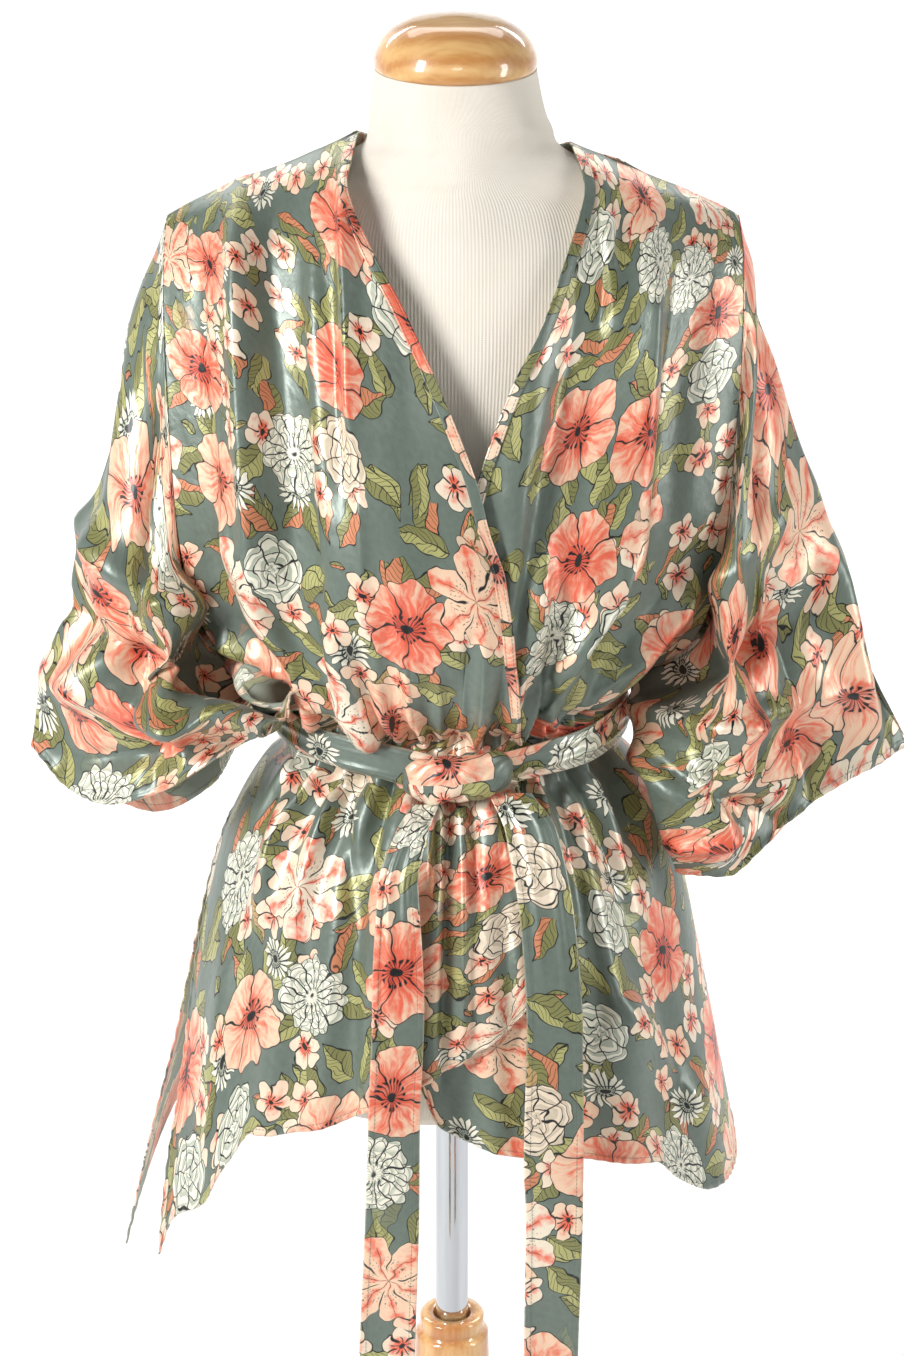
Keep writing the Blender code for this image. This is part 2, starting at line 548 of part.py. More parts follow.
def build_torso(mat):
    """The padded torso with its neck, and a socket for the pole in its flat underside."""
    count = 28
    angle = np.arange(count) / count * 2 * math.pi
    rings = []
    for i, z in enumerate(TORSO["z"]):
        front = np.sin(angle) < 0
        depth = np.where(front, TORSO["front"][i], TORSO["back"][i])
        root = np.exp(-(TORSO["half"][i] * np.cos(angle) / 0.055) ** 2) * np.where(front, 1, 0.7)
        y = (depth + TORSO["neck"][i] * root) * np.sin(angle)
        tilt = math.tan(NECK_TILT) * ease(1.385, NECK_PLANE, z)
        x = TORSO["x"][i] + TORSO["half"][i] * np.cos(angle)
        rings.append(np.stack([x, y, z + tilt * y], -1))
    low = TORSO["z"][-1]
    bore = POLE_RADIUS + RUNNING_GAP
    rings.append(circle(bore, low, count))
    rings.append(circle(bore, low + POLE_SOCKET, count))
    add_loft("torso", rings, mat)


def build_cap(mat):
    """The turned neck cap, tilted with the neck."""
    rings = [circle(r, z, 28) for r, z in zip(CAP_PROFILE["radius"], CAP_PROFILE["z"])]
    cap = add_loft("neck_cap", rings, mat)
    place = Matrix.Translation(Vector((CAP_X, 0, NECK_PLANE + SEAM)))
    cap.data.transform(place @ Matrix.Rotation(NECK_TILT, 4, "X"))


def build_stand(steel, wood):
    """The pole, the turned column with its bore, and the round foot."""
    top = TORSO["z"][-1] + POLE_SOCKET - 0.001
    add_loft("pole", [circle(POLE_RADIUS, z, 28) for z in (top, POLE_LOW)], steel)
    rings = [circle(r, z, 28) for r, z in zip(COLUMN_PROFILE["radius"], COLUMN_PROFILE["z"])]
    tight = POLE_RADIUS + RUNNING_GAP
    bore = ((tight, 0.045), (tight, COLLAR_TOP - 0.022), (0.0148, COLLAR_TOP - 0.018), (0.0148, COLLAR_TOP))
    inside = [circle(r, z, 28) for r, z in bore]
    add_loft("stand_column", inside + rings, wood)
    foot = [circle(r, z, 32) for r, z in zip(BASE_PROFILE["radius"], BASE_PROFILE["z"])]
    add_loft("stand_foot", foot, wood)


def main():
    """Builds every piece in an empty scene."""
    for obj in list(bpy.data.objects):
        bpy.data.objects.remove(obj, do_unlink=True)
    satin = material("satin", (0.16, 0.19, 0.165), 0.38)
    belt = material("belt_satin", (0.20, 0.22, 0.19), 0.38)
    jersey = material("jersey", (0.80, 0.76, 0.69), 0.9)
    wood = material("wood", (0.62, 0.38, 0.18), 0.3)
    steel = material("steel", (0.75, 0.76, 0.78), 0.1, 1.0)
    build_fronts(satin)
    build_back(satin)
    build_sleeves(satin)
    build_neck_band(satin)
    build_belt(belt)
    build_torso(jersey)
    build_cap(wood)
    build_stand(steel, wood)


main()
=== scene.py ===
"""The kimono robe on its dress form, dressed for the render: cloth, print, form, stand, light and camera.

Left and right in names are the wearer's. Lengths are metres, +Z is up and the front is at -Y.
"""
import math

import bmesh
import bpy
import numpy as np
from mathutils import Matrix, Vector

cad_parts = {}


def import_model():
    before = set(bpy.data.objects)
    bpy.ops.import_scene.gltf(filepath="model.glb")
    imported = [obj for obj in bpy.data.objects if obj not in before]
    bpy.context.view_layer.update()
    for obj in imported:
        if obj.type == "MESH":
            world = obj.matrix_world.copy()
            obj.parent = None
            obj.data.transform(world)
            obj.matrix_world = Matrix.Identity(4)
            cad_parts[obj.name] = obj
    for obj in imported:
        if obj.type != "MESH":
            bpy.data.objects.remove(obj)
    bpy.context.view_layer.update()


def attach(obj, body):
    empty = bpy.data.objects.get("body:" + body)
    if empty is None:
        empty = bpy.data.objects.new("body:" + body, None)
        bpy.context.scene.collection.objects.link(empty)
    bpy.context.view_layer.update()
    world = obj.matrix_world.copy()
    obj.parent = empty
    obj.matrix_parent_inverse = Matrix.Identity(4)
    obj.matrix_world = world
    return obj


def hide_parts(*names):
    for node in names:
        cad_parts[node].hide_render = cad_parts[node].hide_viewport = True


# Cloth: its thickness, what a turned hem adds, the hem's width and puckers, and the depths of relief
CLOTH = 0.0007
HEM_EXTRA = 0.0007
HEM_WIDTH = 0.0055
PUCKER_HEIGHT = 0.0005
PUCKER_RUN = 0.011
CREASE_DEPTH = 2.1
GATHER_DEPTH = 2.5

# Shape: gap at seams, neck band, overlap, shoulders, belt, slit and the axis that a sleeve lies round
SEAM = 0.0003
BAND_WIDTH = 0.0078
BAND_LIFT = 0.0012
OVERLAP_LIFT = 0.0055
RIDGE_POWER = 1.3
BACK_NECK_DROP = 0.026
SHOULDER_LEVEL = 1.338
BELT_LEVEL = 0.968
BELT_ZONE = 0.020
BELT_HALF_HEIGHT = 0.0128
SHOULDER_ROUND = 0.011
SLIT_LEVEL = 0.885
SLEEVE_AXIS = 0.215

# Rows and columns of the cloth grids
ROWS_ABOVE = 118
ROWS_BELT = 8
ROWS_BELOW = 100
FRONT_COLUMNS = 190
SHOULDER_COLUMNS = 66
NECK_COLUMNS = 58
SLEEVE_ROWS = 100

# Form and stand, and the mean girth that the jersey's ribs are counted on
POLE_RADIUS = 0.013
POLE_LOW = 0.16
POLE_SOCKET = 0.09
NECK_TILT = math.radians(10)
NECK_PLANE = 1.426
CAP_X = 0.0025
COLLAR_TOP = 0.459
TORSO_ROUND = 0.95

# Knot of the belt: middle, half length, half thickness and how far it stands before the waist
KNOT_X = 0.004
KNOT_LEVEL = 0.957
KNOT_HALF_LENGTH = 0.038
KNOT_HALF = 0.0152
KNOT_AHEAD = 0.0264

# Print: spacing and scatter of the large flowers
BLOOM_SPACING = 0.086
BLOOM_RANDOM = 0.62

# Camera, at the photo's viewing angle
CAMERA_PLACE = (0.0, -1.664, 1.499)
CAMERA_TILT = math.radians(73)
CAMERA_LENS = 62.7

# Studio: the world's strength, and each soft box's name, place, aim, size and watts
WORLD_STRENGTH = 0.03
LIGHTS = (
    ("key", (-1.8, -1.5, 2.0), (0, 0, 1.05), (0.45, 1.4), 66),
    ("fill", (2.0, -0.7, 1.5), (0, 0, 1.0), (0.35, 1.5), 20),
    ("front", (0.1, -2.6, 2.4), (0, 0, 1.0), (0.6, 0.4), 5),
    ("back_right", (1.8, 2.6, 3.4), (0.9, 4.6, 0.2), (1.8, 1.4), 105),
    ("back_left", (-1.8, 2.6, 3.4), (-0.9, 4.6, 0.2), (1.8, 1.4), 105),
    ("floor_light", (0.0, 1.6, 3.6), (0.0, 2.4, 0.0), (2.4, 1.2), 30),
)

# Creases along the belt: place across, height, sway, waves round and start
BELT_CREASES = (
    (-0.50, 0.0022, 0.22, 17, 0.3), (-0.02, 0.0018, 0.25, 23, 1.9), (0.55, 0.0022, 0.20, 13, 4.1),
)


def thousandths(*rows):
    """Rows written in millimetres, or in thousandths of a share, as metres and shares."""
    return np.array(rows) / 1000


def columns(names, *rows):
    """Named columns of rows that are written in thousandths."""
    return dict(zip(names.split(), thousandths(*rows).T))


def linear(red, green, blue):
    """A display colour given as 0 to 255, as linear values."""
    return tuple(c / 12.92 if c <= 0.04045 else ((c + 0.055) / 1.055) ** 2.4
                 for c in (red / 255, green / 255, blue / 255))


# Print colours
PEACH = linear(252, 214, 182)
CORAL = linear(244, 110, 80)
DEEP = linear(190, 48, 34)
CREAM = linear(249, 234, 210)
WHITE = linear(250, 246, 228)
MIST = linear(196, 202, 182)
INK = linear(20, 23, 22)
OLIVE = linear(184, 182, 118)
MOSS = linear(138, 138, 84)
RUST = linear(220, 124, 92)
SAGE = linear(118, 131, 120)
SAGE_DARK = linear(101, 114, 104)

# Body sections: height at the side, rise to the neck, half widths, depths and half the armhole's gap
BODY = columns(
    "level rise right left front back open",
    (1338, 75, 197, 198.5, 0.2, 0.2, 0.2), (1330, 68, 198, 199, 30, 30, 8),
    (1312, 55, 198, 200, 60, 56, 22), (1285, 38, 198, 200, 88, 78, 34), (1240, 16, 197, 199, 118, 100, 45),
    (1180, 3, 195, 196, 137, 112, 52), (1120, -2, 192, 192, 141, 108, 55),
    (1065, -6, 184, 184, 134, 100, 50), (1030, -10, 172, 172, 122, 96, 38),
    (1008, -14, 150, 150, 112, 94, 22), (998, -13, 132, 132, 107, 93, 9),
    (990, -12, 124, 124, 103, 92, 0.2), (946, -8, 124, 124, 103, 92, 0.2),
    (930, -5, 139, 137, 114, 104, 0.2), (900, -2, 158, 154, 129, 120, 0.2),
    (860, 0, 175, 169, 143, 135, 0.2), (790, 0, 193, 185, 155, 150, 0.2), (700, 0, 213, 204, 162, 158, 0.2),
    (610, 0, 237, 221, 165, 160, 0.2), (500, 0, 263, 230, 165, 160, 0.2),
)

# How sharply the cloth falls away from the middle: more where it spreads into a sleeve
FALL = columns(
    "level power",
    (1338, 1000), (1270, 1100), (1190, 1380), (1040, 1380), (995, 1000), (500, 1000),
)

# Share of a quarter turn that the body's side reaches: less where the cloth runs on into a sleeve
SWEEP = columns(
    "level share",
    (1338, 500), (1065, 500), (1020, 700), (990, 1000), (500, 1000),
)

# Front edges: level and x of each front's free edge, from the shoulder down
RIGHT_EDGE = columns(
    "level x",
    (1338, -65), (1318, -68), (1280, -48), (1254, -29), (1222, -10), (1163, 17), (1135, 24), (1100, 34),
    (1064, 40), (1022, 42), (968, 42), (900, 50), (800, 55), (600, 55),
)
LEFT_EDGE = columns(
    "level x",
    (1338, 81), (1322, 90), (1309, 86), (1282, 74), (1254, 60), (1225, 42), (1196, 28), (1170, 18),
    (1100, -2), (1030, -22), (968, -35), (900, -35), (800, -25), (600, -12),
)

# Side edges as a share of the quarter turn: the right one swings forward below its slit
RIGHT_SIDE = columns(
    "level turn",
    (1400, 1000), (895, 1000), (850, 940), (760, 860), (700, 800), (620, 740), (550, 690),
)

# Hems: share of the way from the front edge to the side, and level there
RIGHT_HEM = columns(
    "share level",
    (0, 810), (30, 792), (80, 777), (200, 752), (290, 734), (420, 710), (580, 690), (650, 685), (720, 655),
    (810, 615), (940, 590), (1000, 556),
)
LEFT_HEM = columns(
    "share level",
    (0, 740), (30, 712), (100, 695), (180, 687), (330, 677), (480, 665), (550, 642), (660, 620), (850, 614),
    (1000, 632),
)
BACK_HEM = columns(
    "turn level",
    (-1000, 520), (-900, 565), (-750, 632), (-500, 685), (0, 710), (500, 692), (750, 662), (900, 640),
    (1000, 632),
)

# Folds: top and bottom level, place at each as a share of the half width, width alike, and height
FRONT_FOLDS = thousandths(
    (1345, 1060, -260, -170, 70, 70, 6), (1330, 1060, -420, -400, 80, 80, 5),
    (1345, 1020, 320, 150, 70, 65, 7), (1320, 1080, 520, 460, 80, 80, 5),
    (1160, 955, -360, -410, 70, 55, 9), (1100, 955, -260, -300, 60, 50, 8),
    (1130, 955, -120, -170, 60, 50, 6), (1110, 955, 50, 30, 55, 50, 9), (1100, 955, 200, 210, 55, 50, 6),
    (1120, 955, 270, 300, 55, 50, 8), (1120, 955, 380, 440, 60, 50, 8), (1100, 955, 460, 600, 70, 55, 8),
    (1100, 955, -500, -560, 70, 60, 7), (1090, 955, -660, -740, 70, 60, 6),
    (1080, 955, 660, 780, 70, 60, 6), (955, 600, -30, -60, 55, 65, 9), (955, 660, 130, 160, 55, 65, 8),
    (955, 700, -270, -220, 60, 70, 9), (955, 660, 300, 260, 55, 60, 8), (955, 550, 560, 620, 65, 150, 18),
    (955, 500, 800, 900, 65, 90, 8), (955, 620, -120, -130, 50, 60, 6), (955, 520, -600, -620, 60, 80, 10),
    (955, 700, -440, -430, 55, 65, 8), (955, 680, 400, 360, 55, 55, 8),
)
BACK_FOLDS = thousandths(
    (1300, 1040, -340, -260, 60, 60, 5), (1300, 1040, 340, 260, 60, 60, 5),
    (1160, 955, -460, -500, 50, 34, 8), (1130, 955, -280, -310, 50, 34, 7),
    (1150, 955, -100, -110, 50, 34, 8), (1130, 955, 80, 90, 50, 34, 7), (1150, 955, 260, 290, 50, 34, 8),
    (1130, 955, 440, 480, 50, 34, 7), (1120, 955, -640, -720, 50, 40, 6), (1120, 955, 640, 720, 50, 40, 6),
    (955, 560, -720, -780, 40, 70, 11), (955, 600, -480, -500, 40, 70, 10),
    (955, 640, -240, -250, 40, 70, 11), (955, 660, 20, 30, 40, 70, 9), (955, 640, 270, 290, 40, 70, 11),
    (955, 600, 500, 550, 40, 70, 10), (955, 560, 730, 800, 40, 70, 11),
)

# Cuff loops: share of the way round from the outer corner, along the front hem and back along the back hem
RIGHT_CUFF = columns(
    "share x y z",
    (0, -312, -6, 941), (100, -286, -30, 918), (200, -255, -52, 911), (310, -207, -80, 930),
    (420, -150, -94, 970), (500, -104, -99, 999), (580, -150, -30, 958), (700, -185, 24, 896),
    (820, -228, 36, 872), (920, -276, 24, 898), (1000, -312, -6, 941),
)
LEFT_CUFF = columns(
    "share x y z",
    (0, 340, -4, 940), (100, 298, -28, 926), (200, 264, -46, 908), (310, 230, -62, 884),
    (420, 196, -70, 862), (500, 163, -62, 862), (580, 180, -6, 874), (700, 212, 28, 888),
    (820, 256, 32, 906), (920, 304, 20, 928), (1000, 340, -4, 940),
)

# Tails of the belt: centre line from the knot down, and width
RIGHT_TAIL = columns(
    "z x y width",
    (938.2, -18, -128.5, 18), (925, -27, -144, 22), (890, -37, -164, 28), (807, -37, -182, 36),
    (731, -40, -187, 36), (652, -42, -187, 38), (525, -47, -184, 40), (430, -49, -184, 40),
)
LEFT_TAIL = columns(
    "z x y width",
    (945.3, 40, -125, 30), (925, 54, -143, 36), (852, 67, -168, 38), (785, 71, -180, 39),
    (691, 71, -185, 42), (650, 72, -185, 40), (525, 71, -183, 39), (440, 71, -183, 39),
)

# Torso sections: height, middle, half width, depths in front and behind, and what the neck adds in front
TORSO = columns(
    "z x half front back neck",
    (1426, 2.5, 55.5, 53, 53, 0), (1410, 3, 58, 52, 52, 0), (1395, 4, 61, 50, 50, 2),
    (1385, 6, 63.5, 46, 46, 7), (1378, 6, 65.5, 40, 40, 14), (1367, 3, 84, 33, 32, 22),
    (1357, 2, 112, 32, 30, 26), (1347, 0, 140.5, 36, 34, 27), (1339, 0, 159, 40, 38, 27),
    (1330, 0, 169.5, 48, 45, 24), (1310, 0, 178, 72, 62, 12), (1250, 0, 175, 107, 87, 0),
    (1190, 0, 160, 122, 98, 0), (1150, 0, 150, 126, 98, 0), (1100, 0, 140, 124, 94, 0),
    (1030, 0, 122, 106, 84, 0), (970, 0, 110, 90, 80, 0), (930, 0, 122, 102, 95.4, 0),
    (880, 0, 143, 115, 115, 0), (820, 0, 158, 124, 130, 0), (770, 0, 164, 128, 134, 0),
    (720, 0, 160, 126, 130, 0), (690, 0, 152, 118, 122, 0), (683, 0, 146, 112, 116, 0),
)

# Turned profiles from the top down: radius and height, outside only
CAP_PROFILE = columns(
    "radius z",
    (16, 34.5), (30, 32), (41, 27.2), (49, 20.8), (53.5, 14), (55.8, 7.6), (56, 3), (55, 0),
)
COLUMN_PROFILE = columns(
    "radius z",
    (24, 459), (25.5, 457.5), (25.5, 449), (24, 447), (29, 442), (30, 410), (29, 370), (24, 340),
    (22.5, 310), (26, 240), (30, 160), (29, 100), (23, 75), (33, 60), (35, 50), (35, 22.3),
)
BASE_PROFILE = columns(
    "radius z",
    (40, 22), (80, 20.5), (120, 18), (142, 14), (148, 10), (150, 6), (148, 1.5), (146, 0),
)

# Gathers at the belt: share of the half width there, how far it fans out, reach up or down, and height
FRONT_GATHERS = thousandths(
    (-900, -20, 50, 2), (-840, 0, 70, -2.5), (-790, 30, 90, 3), (-700, -20, 60, 3.5), (-650, 30, 110, -3.5),
    (-600, 0, 130, 3), (-520, -30, 80, 3.5), (-480, -20, 140, -4), (-440, 20, 100, 3), (-360, -40, 70, 3.5),
    (-330, 20, 130, -3.5), (-260, -30, 90, 3), (-220, 10, 150, -3.5), (-140, -20, 80, 3),
    (-100, 10, 110, -3), (-30, -30, 130, 3), (0, 10, 90, -4), (80, -10, 120, -3), (130, -30, 160, 4.5),
    (170, 20, 100, -3.5), (250, -20, 90, 3), (290, 20, 140, -4.5), (350, -30, 180, 4), (400, -40, 120, -4),
    (490, 20, 90, 4), (530, -30, 150, -4), (570, -40, 110, 3), (660, 0, 80, 3.5), (710, -30, 120, -3.5),
    (790, 10, 90, 3), (860, -20, 60, -2),
)
FRONT_FLARES = thousandths(
    (-860, -50, -120, 2.5), (-790, -30, -80, -3), (-720, -50, -150, 3.5), (-640, -20, -90, -3),
    (-570, -40, -170, 4), (-500, -20, -110, -3.5), (-380, -30, -80, 3), (-330, 10, -150, -3.5),
    (-190, -30, -100, 3), (-130, -20, -130, -4.5), (-70, 20, -180, 3.5), (10, 20, -90, 3),
    (80, 30, -140, -3.5), (180, 20, -100, 3.5), (230, 40, -170, -4), (340, 30, -120, 3.5),
    (390, 50, -90, -3), (460, 30, -160, 4), (520, 60, -110, -4), (600, 40, -80, 3), (670, 60, -180, -3.5),
    (740, 30, -120, 3), (820, 50, -90, -2.5),
)
BACK_GATHERS = thousandths(
    (-860, 20, 70, 2.5), (-780, -20, 100, -3), (-700, 30, 130, 3.5), (-620, 0, 80, -3.5),
    (-550, -30, 150, 4), (-450, 20, 100, 3.5), (-380, -20, 170, -4), (-240, 30, 120, 3.5),
    (-170, -20, 90, -3.5), (-30, 20, 160, 4), (30, -20, 110, -3.5), (170, 30, 90, 3), (220, -20, 150, -4),
    (360, 30, 180, 3.5), (410, -20, 100, -3.5), (550, 30, 120, 4), (620, 0, 160, -3.5), (700, -30, 90, 3),
    (790, 20, 130, -3), (870, -20, 70, 2.5),
)
BACK_FLARES = thousandths(
    (-850, -50, -120, 3), (-640, -50, -160, 3.5), (-570, 30, -100, -3), (-400, -40, -200, 4),
    (-330, 30, -130, -4), (-140, -30, -180, 3.5), (-70, 20, -100, -3), (110, 30, -210, 4),
    (180, -20, -120, -3.5), (370, 40, -170, 4), (430, -30, -110, -4), (600, 50, -190, 3.5),
    (660, -30, -120, -3.5), (840, 50, -140, 3),
)

# Single creases: x and z of the upper and the lower end seen from the front, half width at each, height
FRONT_CREASES = thousandths(
    (-71, 1340, -64, 1200, 6, 10, 6), (-82, 1335, -74, 1180, 7, 10, -4),
    (-140, 1320, -126, 1080, 14, 12, 5), (-119, 1300, -108, 1090, 12, 10, -4),
    (-165, 1290, -150, 1080, 12, 10, 4.5), (-98, 1300, -86, 1110, 10, 10, 3.5),
    (90, 1346, 92, 1279, 6, 7, -5), (104, 1330, 106, 1260, 7, 10, 5), (92, 1279, 77, 1223, 7, 7, -5),
    (77, 1223, 62, 1163, 7, 6, -5), (62, 1163, 48, 1074, 7, 5, -4.5), (131, 1290, 124, 1120, 14, 12, 5.5),
    (150, 1250, 146, 1080, 10, 10, -4), (-17, 945, -17, 880, 7, 8, -6), (-78, 946, -70, 870, 5, 7, -4.5),
    (103, 962, 138, 870, 5, 8, -4.5), (75, 946, 104, 800, 6, 9, -5.5), (-1, 950, -6, 767, 4, 5, -5),
    (9, 950, 6, 775, 6, 7, 4), (-114, 931, -134, 840, 6, 10, 4.5), (119, 791, 184, 687, 10, 12, 4.5),
    (150, 860, 170, 700, 12, 14, -6), (-45, 900, -52, 730, 12, 14, 4.5), (35, 930, 48, 820, 8, 10, 3.5),
    (-160, 800, -175, 640, 12, 14, 4), (-166, 1036, -122, 1018, 8, 6, 6), (-122, 1018, -80, 986, 6, 5, 5),
    (-170, 1018, -104, 992, 7, 5, -6), (-174, 1110, -105, 995, 12, 6, -5), (-150, 1120, -90, 992, 11, 6, 5),
    (150, 1100, 62, 988, 12, 6, -6.5), (168, 1070, 86, 986, 11, 6, 6), (122, 1110, 46, 990, 10, 5, 5),
    (172, 1030, 108, 988, 8, 5, -5.5), (-157, 1061, -100, 970, 10, 5, -4),
    (-129, 1086, -68, 965, 10, 5, -4.2), (-142, 1080, -85, 968, 8, 4, 3.6),
    (-100, 1100, -48, 962, 9, 4, 3.2), (-30, 1080, -24, 955, 9, 5, -3.6), (14, 1060, -4, 952, 9, 5, -4.2),
    (33, 1120, 34, 960, 10, 6, -3.6), (75, 1060, 46, 956, 9, 5, -4.4), (60, 1090, 36, 956, 7, 4, 3.4),
    (112, 1040, 60, 958, 9, 4, -4), (98, 1080, 56, 958, 8, 4, 3.6), (149, 1080, 76, 960, 10, 5, -3.6),
    (104, 1320, 74, 1080, 13, 12, -5), (132, 1300, 104, 1080, 12, 14, 4.2),
    (160, 1290, 140, 1090, 12, 14, -4.5), (-104, 1310, -92, 1080, 11, 13, -4.8),
    (-142, 1310, -128, 1090, 12, 14, 4.5), (-168, 1290, -158, 1100, 10, 12, -4.2),
    (-60, 1250, -58, 1070, 10, 12, 3.6),
)
BACK_CREASES = thousandths(
    (-150, 1300, -130, 1100, 12, 14, 5), (-110, 1330, -90, 1080, 12, 12, -4.5),
    (-60, 1345, -46, 1100, 10, 12, 4.5), (58, 1345, 44, 1080, 11, 12, -4), (112, 1330, 94, 1100, 12, 13, 5),
    (152, 1300, 134, 1090, 10, 12, -4.5), (-20, 1300, -16, 1080, 14, 12, 4),
    (24, 1240, 18, 1060, 12, 12, -3.5), (-120, 900, -150, 680, 8, 16, -5), (-60, 880, -70, 740, 9, 14, 4.5),
    (10, 870, 14, 750, 8, 15, -4.5), (70, 900, 90, 720, 9, 16, 4.5), (130, 880, 160, 700, 8, 15, -5),
)
SLEEVE_RIGHT_CREASES = thousandths(
    (-203, 1018, -190, 955, 6, 6, 4), (-178, 1042, -85, 992, 6, 5, 6), (-200, 1020, -130, 998, 6, 6, -5),
    (-219, 983, -120, 990, 8, 6, 6), (-180, 1087, -288, 976, 12, 14, 5),
    (-215, 1280, -262, 980, 12, 12, 4.5), (-235, 1250, -285, 960, 14, 14, -4.5),
    (-205, 1200, -215, 1060, 10, 12, -4), (-160, 1010, -120, 990, 6, 5, -5),
    (-255, 1160, -290, 980, 10, 12, 4), (-230, 1060, -215, 935, 8, 9, -5),
    (-112, 1000, -262, 1110, 7, 16, 7.5), (-116, 992, -272, 1045, 6, 15, -7.5),
    (-122, 985, -284, 996, 6, 14, 6.5), (-132, 978, -270, 940, 6, 12, -5.5),
)
SLEEVE_LEFT_CREASES = thousandths(
    (203, 1270, 198, 930, 8, 10, 5), (214, 1240, 214, 930, 7, 9, -5.5), (160, 889, 203, 903, 6, 6, 4),
    (96, 1012, 133, 984, 8, 7, -5.5), (179, 963, 208, 906, 8, 8, -6), (92, 982, 155, 932, 7, 7, 5),
    (235, 1240, 300, 960, 12, 14, 5), (225, 1100, 262, 920, 10, 12, -5), (250, 1200, 318, 970, 12, 14, -4),
    (270, 1080, 310, 950, 10, 12, 4), (215, 1010, 190, 900, 8, 8, 4.5), (118, 996, 228, 1120, 7, 16, 7),
    (124, 988, 250, 1050, 6, 15, -7.5), (136, 976, 275, 990, 6, 14, 6.5), (150, 950, 240, 900, 6, 12, -5.5),
)


def smooth(table, key, column, at):
    """Values of a column at the given keys, through a curve that never overshoots its rows."""
    known = np.asarray(table[key], float)
    value = np.asarray(table[column], float)
    if known[0] > known[-1]:
        known, value = known[::-1], value[::-1]
    gap = np.diff(known)
    rate = np.diff(value) / gap
    slope = np.zeros(len(known))
    slope[0], slope[-1] = rate[0], rate[-1]
    same = rate[:-1] * rate[1:] > 0
    slope[1:-1][same] = 2 * rate[:-1][same] * rate[1:][same] / (rate[:-1][same] + rate[1:][same])
    at = np.clip(at, known[0], known[-1])
    i = np.clip(np.searchsorted(known, at) - 1, 0, len(gap) - 1)
    t = (at - known[i]) / gap[i]
    start = value[i] * (1 + 2 * t) * (1 - t) ** 2 + gap[i] * slope[i] * t * (1 - t) ** 2
    return start + value[i + 1] * t * t * (3 - 2 * t) + gap[i] * slope[i + 1] * t * t * (t - 1)


def ease(low, high, at):
    """0 below low, 1 above high, and a soft step between."""
    t = np.clip((at - low) / (high - low), 0, 1)
    return t * t * (3 - 2 * t)


def fold_height(folds, across, level):
    """How far the folds push the cloth out, by share of the half width and level."""
    out = np.zeros(np.broadcast(across, level).shape)
    for top, bottom, at_top, at_bottom, width_top, width_bottom, height in folds:
        down = np.clip((top - level) / (top - bottom), 0, 1)
        middle = at_top + (at_bottom - at_top) * down
        width = width_top + (width_bottom - width_top) * down
        ends = ease(0.94, 1.0, level) if top > BELT_LEVEL else 1.0
        grown = (0.25 * ease(0, 0.1, down) + 0.75 * ease(0, 0.6, down)) * ends
        out = out + height * grown * np.exp(-((across - middle) / width) ** 2)
    press = 0.22 + 0.78 * ease(BELT_HALF_HEIGHT, 0.050, np.abs(level - BELT_LEVEL))
    return out * press


def half_width(turn, level):
    """Half width of the body on the side that the turn is on."""
    return np.where(turn < 0, smooth(BODY, "level", "right", level), smooth(BODY, "level", "left", level))


def side_angle(level):
    """Angle that the body's side is at."""
    return smooth(SWEEP, "level", "share", level) * math.pi / 2


def share_across(turn, level):
    """Share of the half width at a turn, which runs from -1 at the right side to 1 at the left."""
    return np.sin(turn * side_angle(level)) / np.sin(side_angle(level))


def body_point(turn, level, side):
    """Point of the body's cloth at a turn and level, on the front or the back."""
    across = share_across(turn, level)
    least = np.cos(side_angle(level))
    opening = smooth(BODY, "level", "open", level)
    depth = smooth(BODY, "level", side, level) - opening
    x = half_width(turn, level) * across
    bow = np.clip((np.cos(turn * side_angle(level)) - least) / (1 - least), 0, 1)
    y = opening + depth * bow ** smooth(FALL, "level", "power", level)
    z = level + smooth(BODY, "level", "rise", level) * np.maximum(1 - np.abs(across), 0) ** RIDGE_POWER
    z = z - SHOULDER_ROUND * ease(1.22, SHOULDER_LEVEL, level) * np.abs(across) ** 8
    return np.stack([x, -y if side == "front" else y, z], -1)


def normals(grid, wrap=False):
    """Unit normals of a grid of points, rows by columns."""
    down = np.gradient(grid, axis=0)
    if wrap:
        across = np.roll(grid, -1, 1) - np.roll(grid, 1, 1)
    else:
        across = np.gradient(grid, axis=1)
    n = np.cross(across, down)
    return n / np.maximum(np.linalg.norm(n, axis=2, keepdims=True), 1e-12)


def outward(grid, wrap=False, centre=(0.0, 0.0)):
    """Normals turned to point away from the body's axis."""
    n = normals(grid, wrap)
    away = grid[..., :2] - np.asarray(centre)
    lean = (n[..., :2] * away).sum() + n[..., 2].sum() * 0.02
    return n if lean > 0 else -n


def edge_turn(edge, level):
    """Turn at which a front's free edge runs."""
    x = smooth(edge, "level", "x", level)
    share = x / half_width(np.sign(x), level)
    return np.arcsin(share * np.sin(side_angle(level))) / side_angle(level)


def row_levels(top, bottom, above, below):
    """Levels of a panel's rows by column: its top to the belt, then from under the belt to its hem."""
    upper = np.linspace(0, 1, above)[:, None] ** 1.25
    lower = np.linspace(0, 1, below)[:, None]
    over, under = BELT_LEVEL + BELT_ZONE, BELT_LEVEL - BELT_ZONE
    if not below:
        return top + (over - top) * upper
    belt = np.linspace(over, under, ROWS_BELT + 2)[1:-1, None] + 0 * top
    return np.vstack([top + (over - top) * upper, belt, under + (bottom - under) * lower])


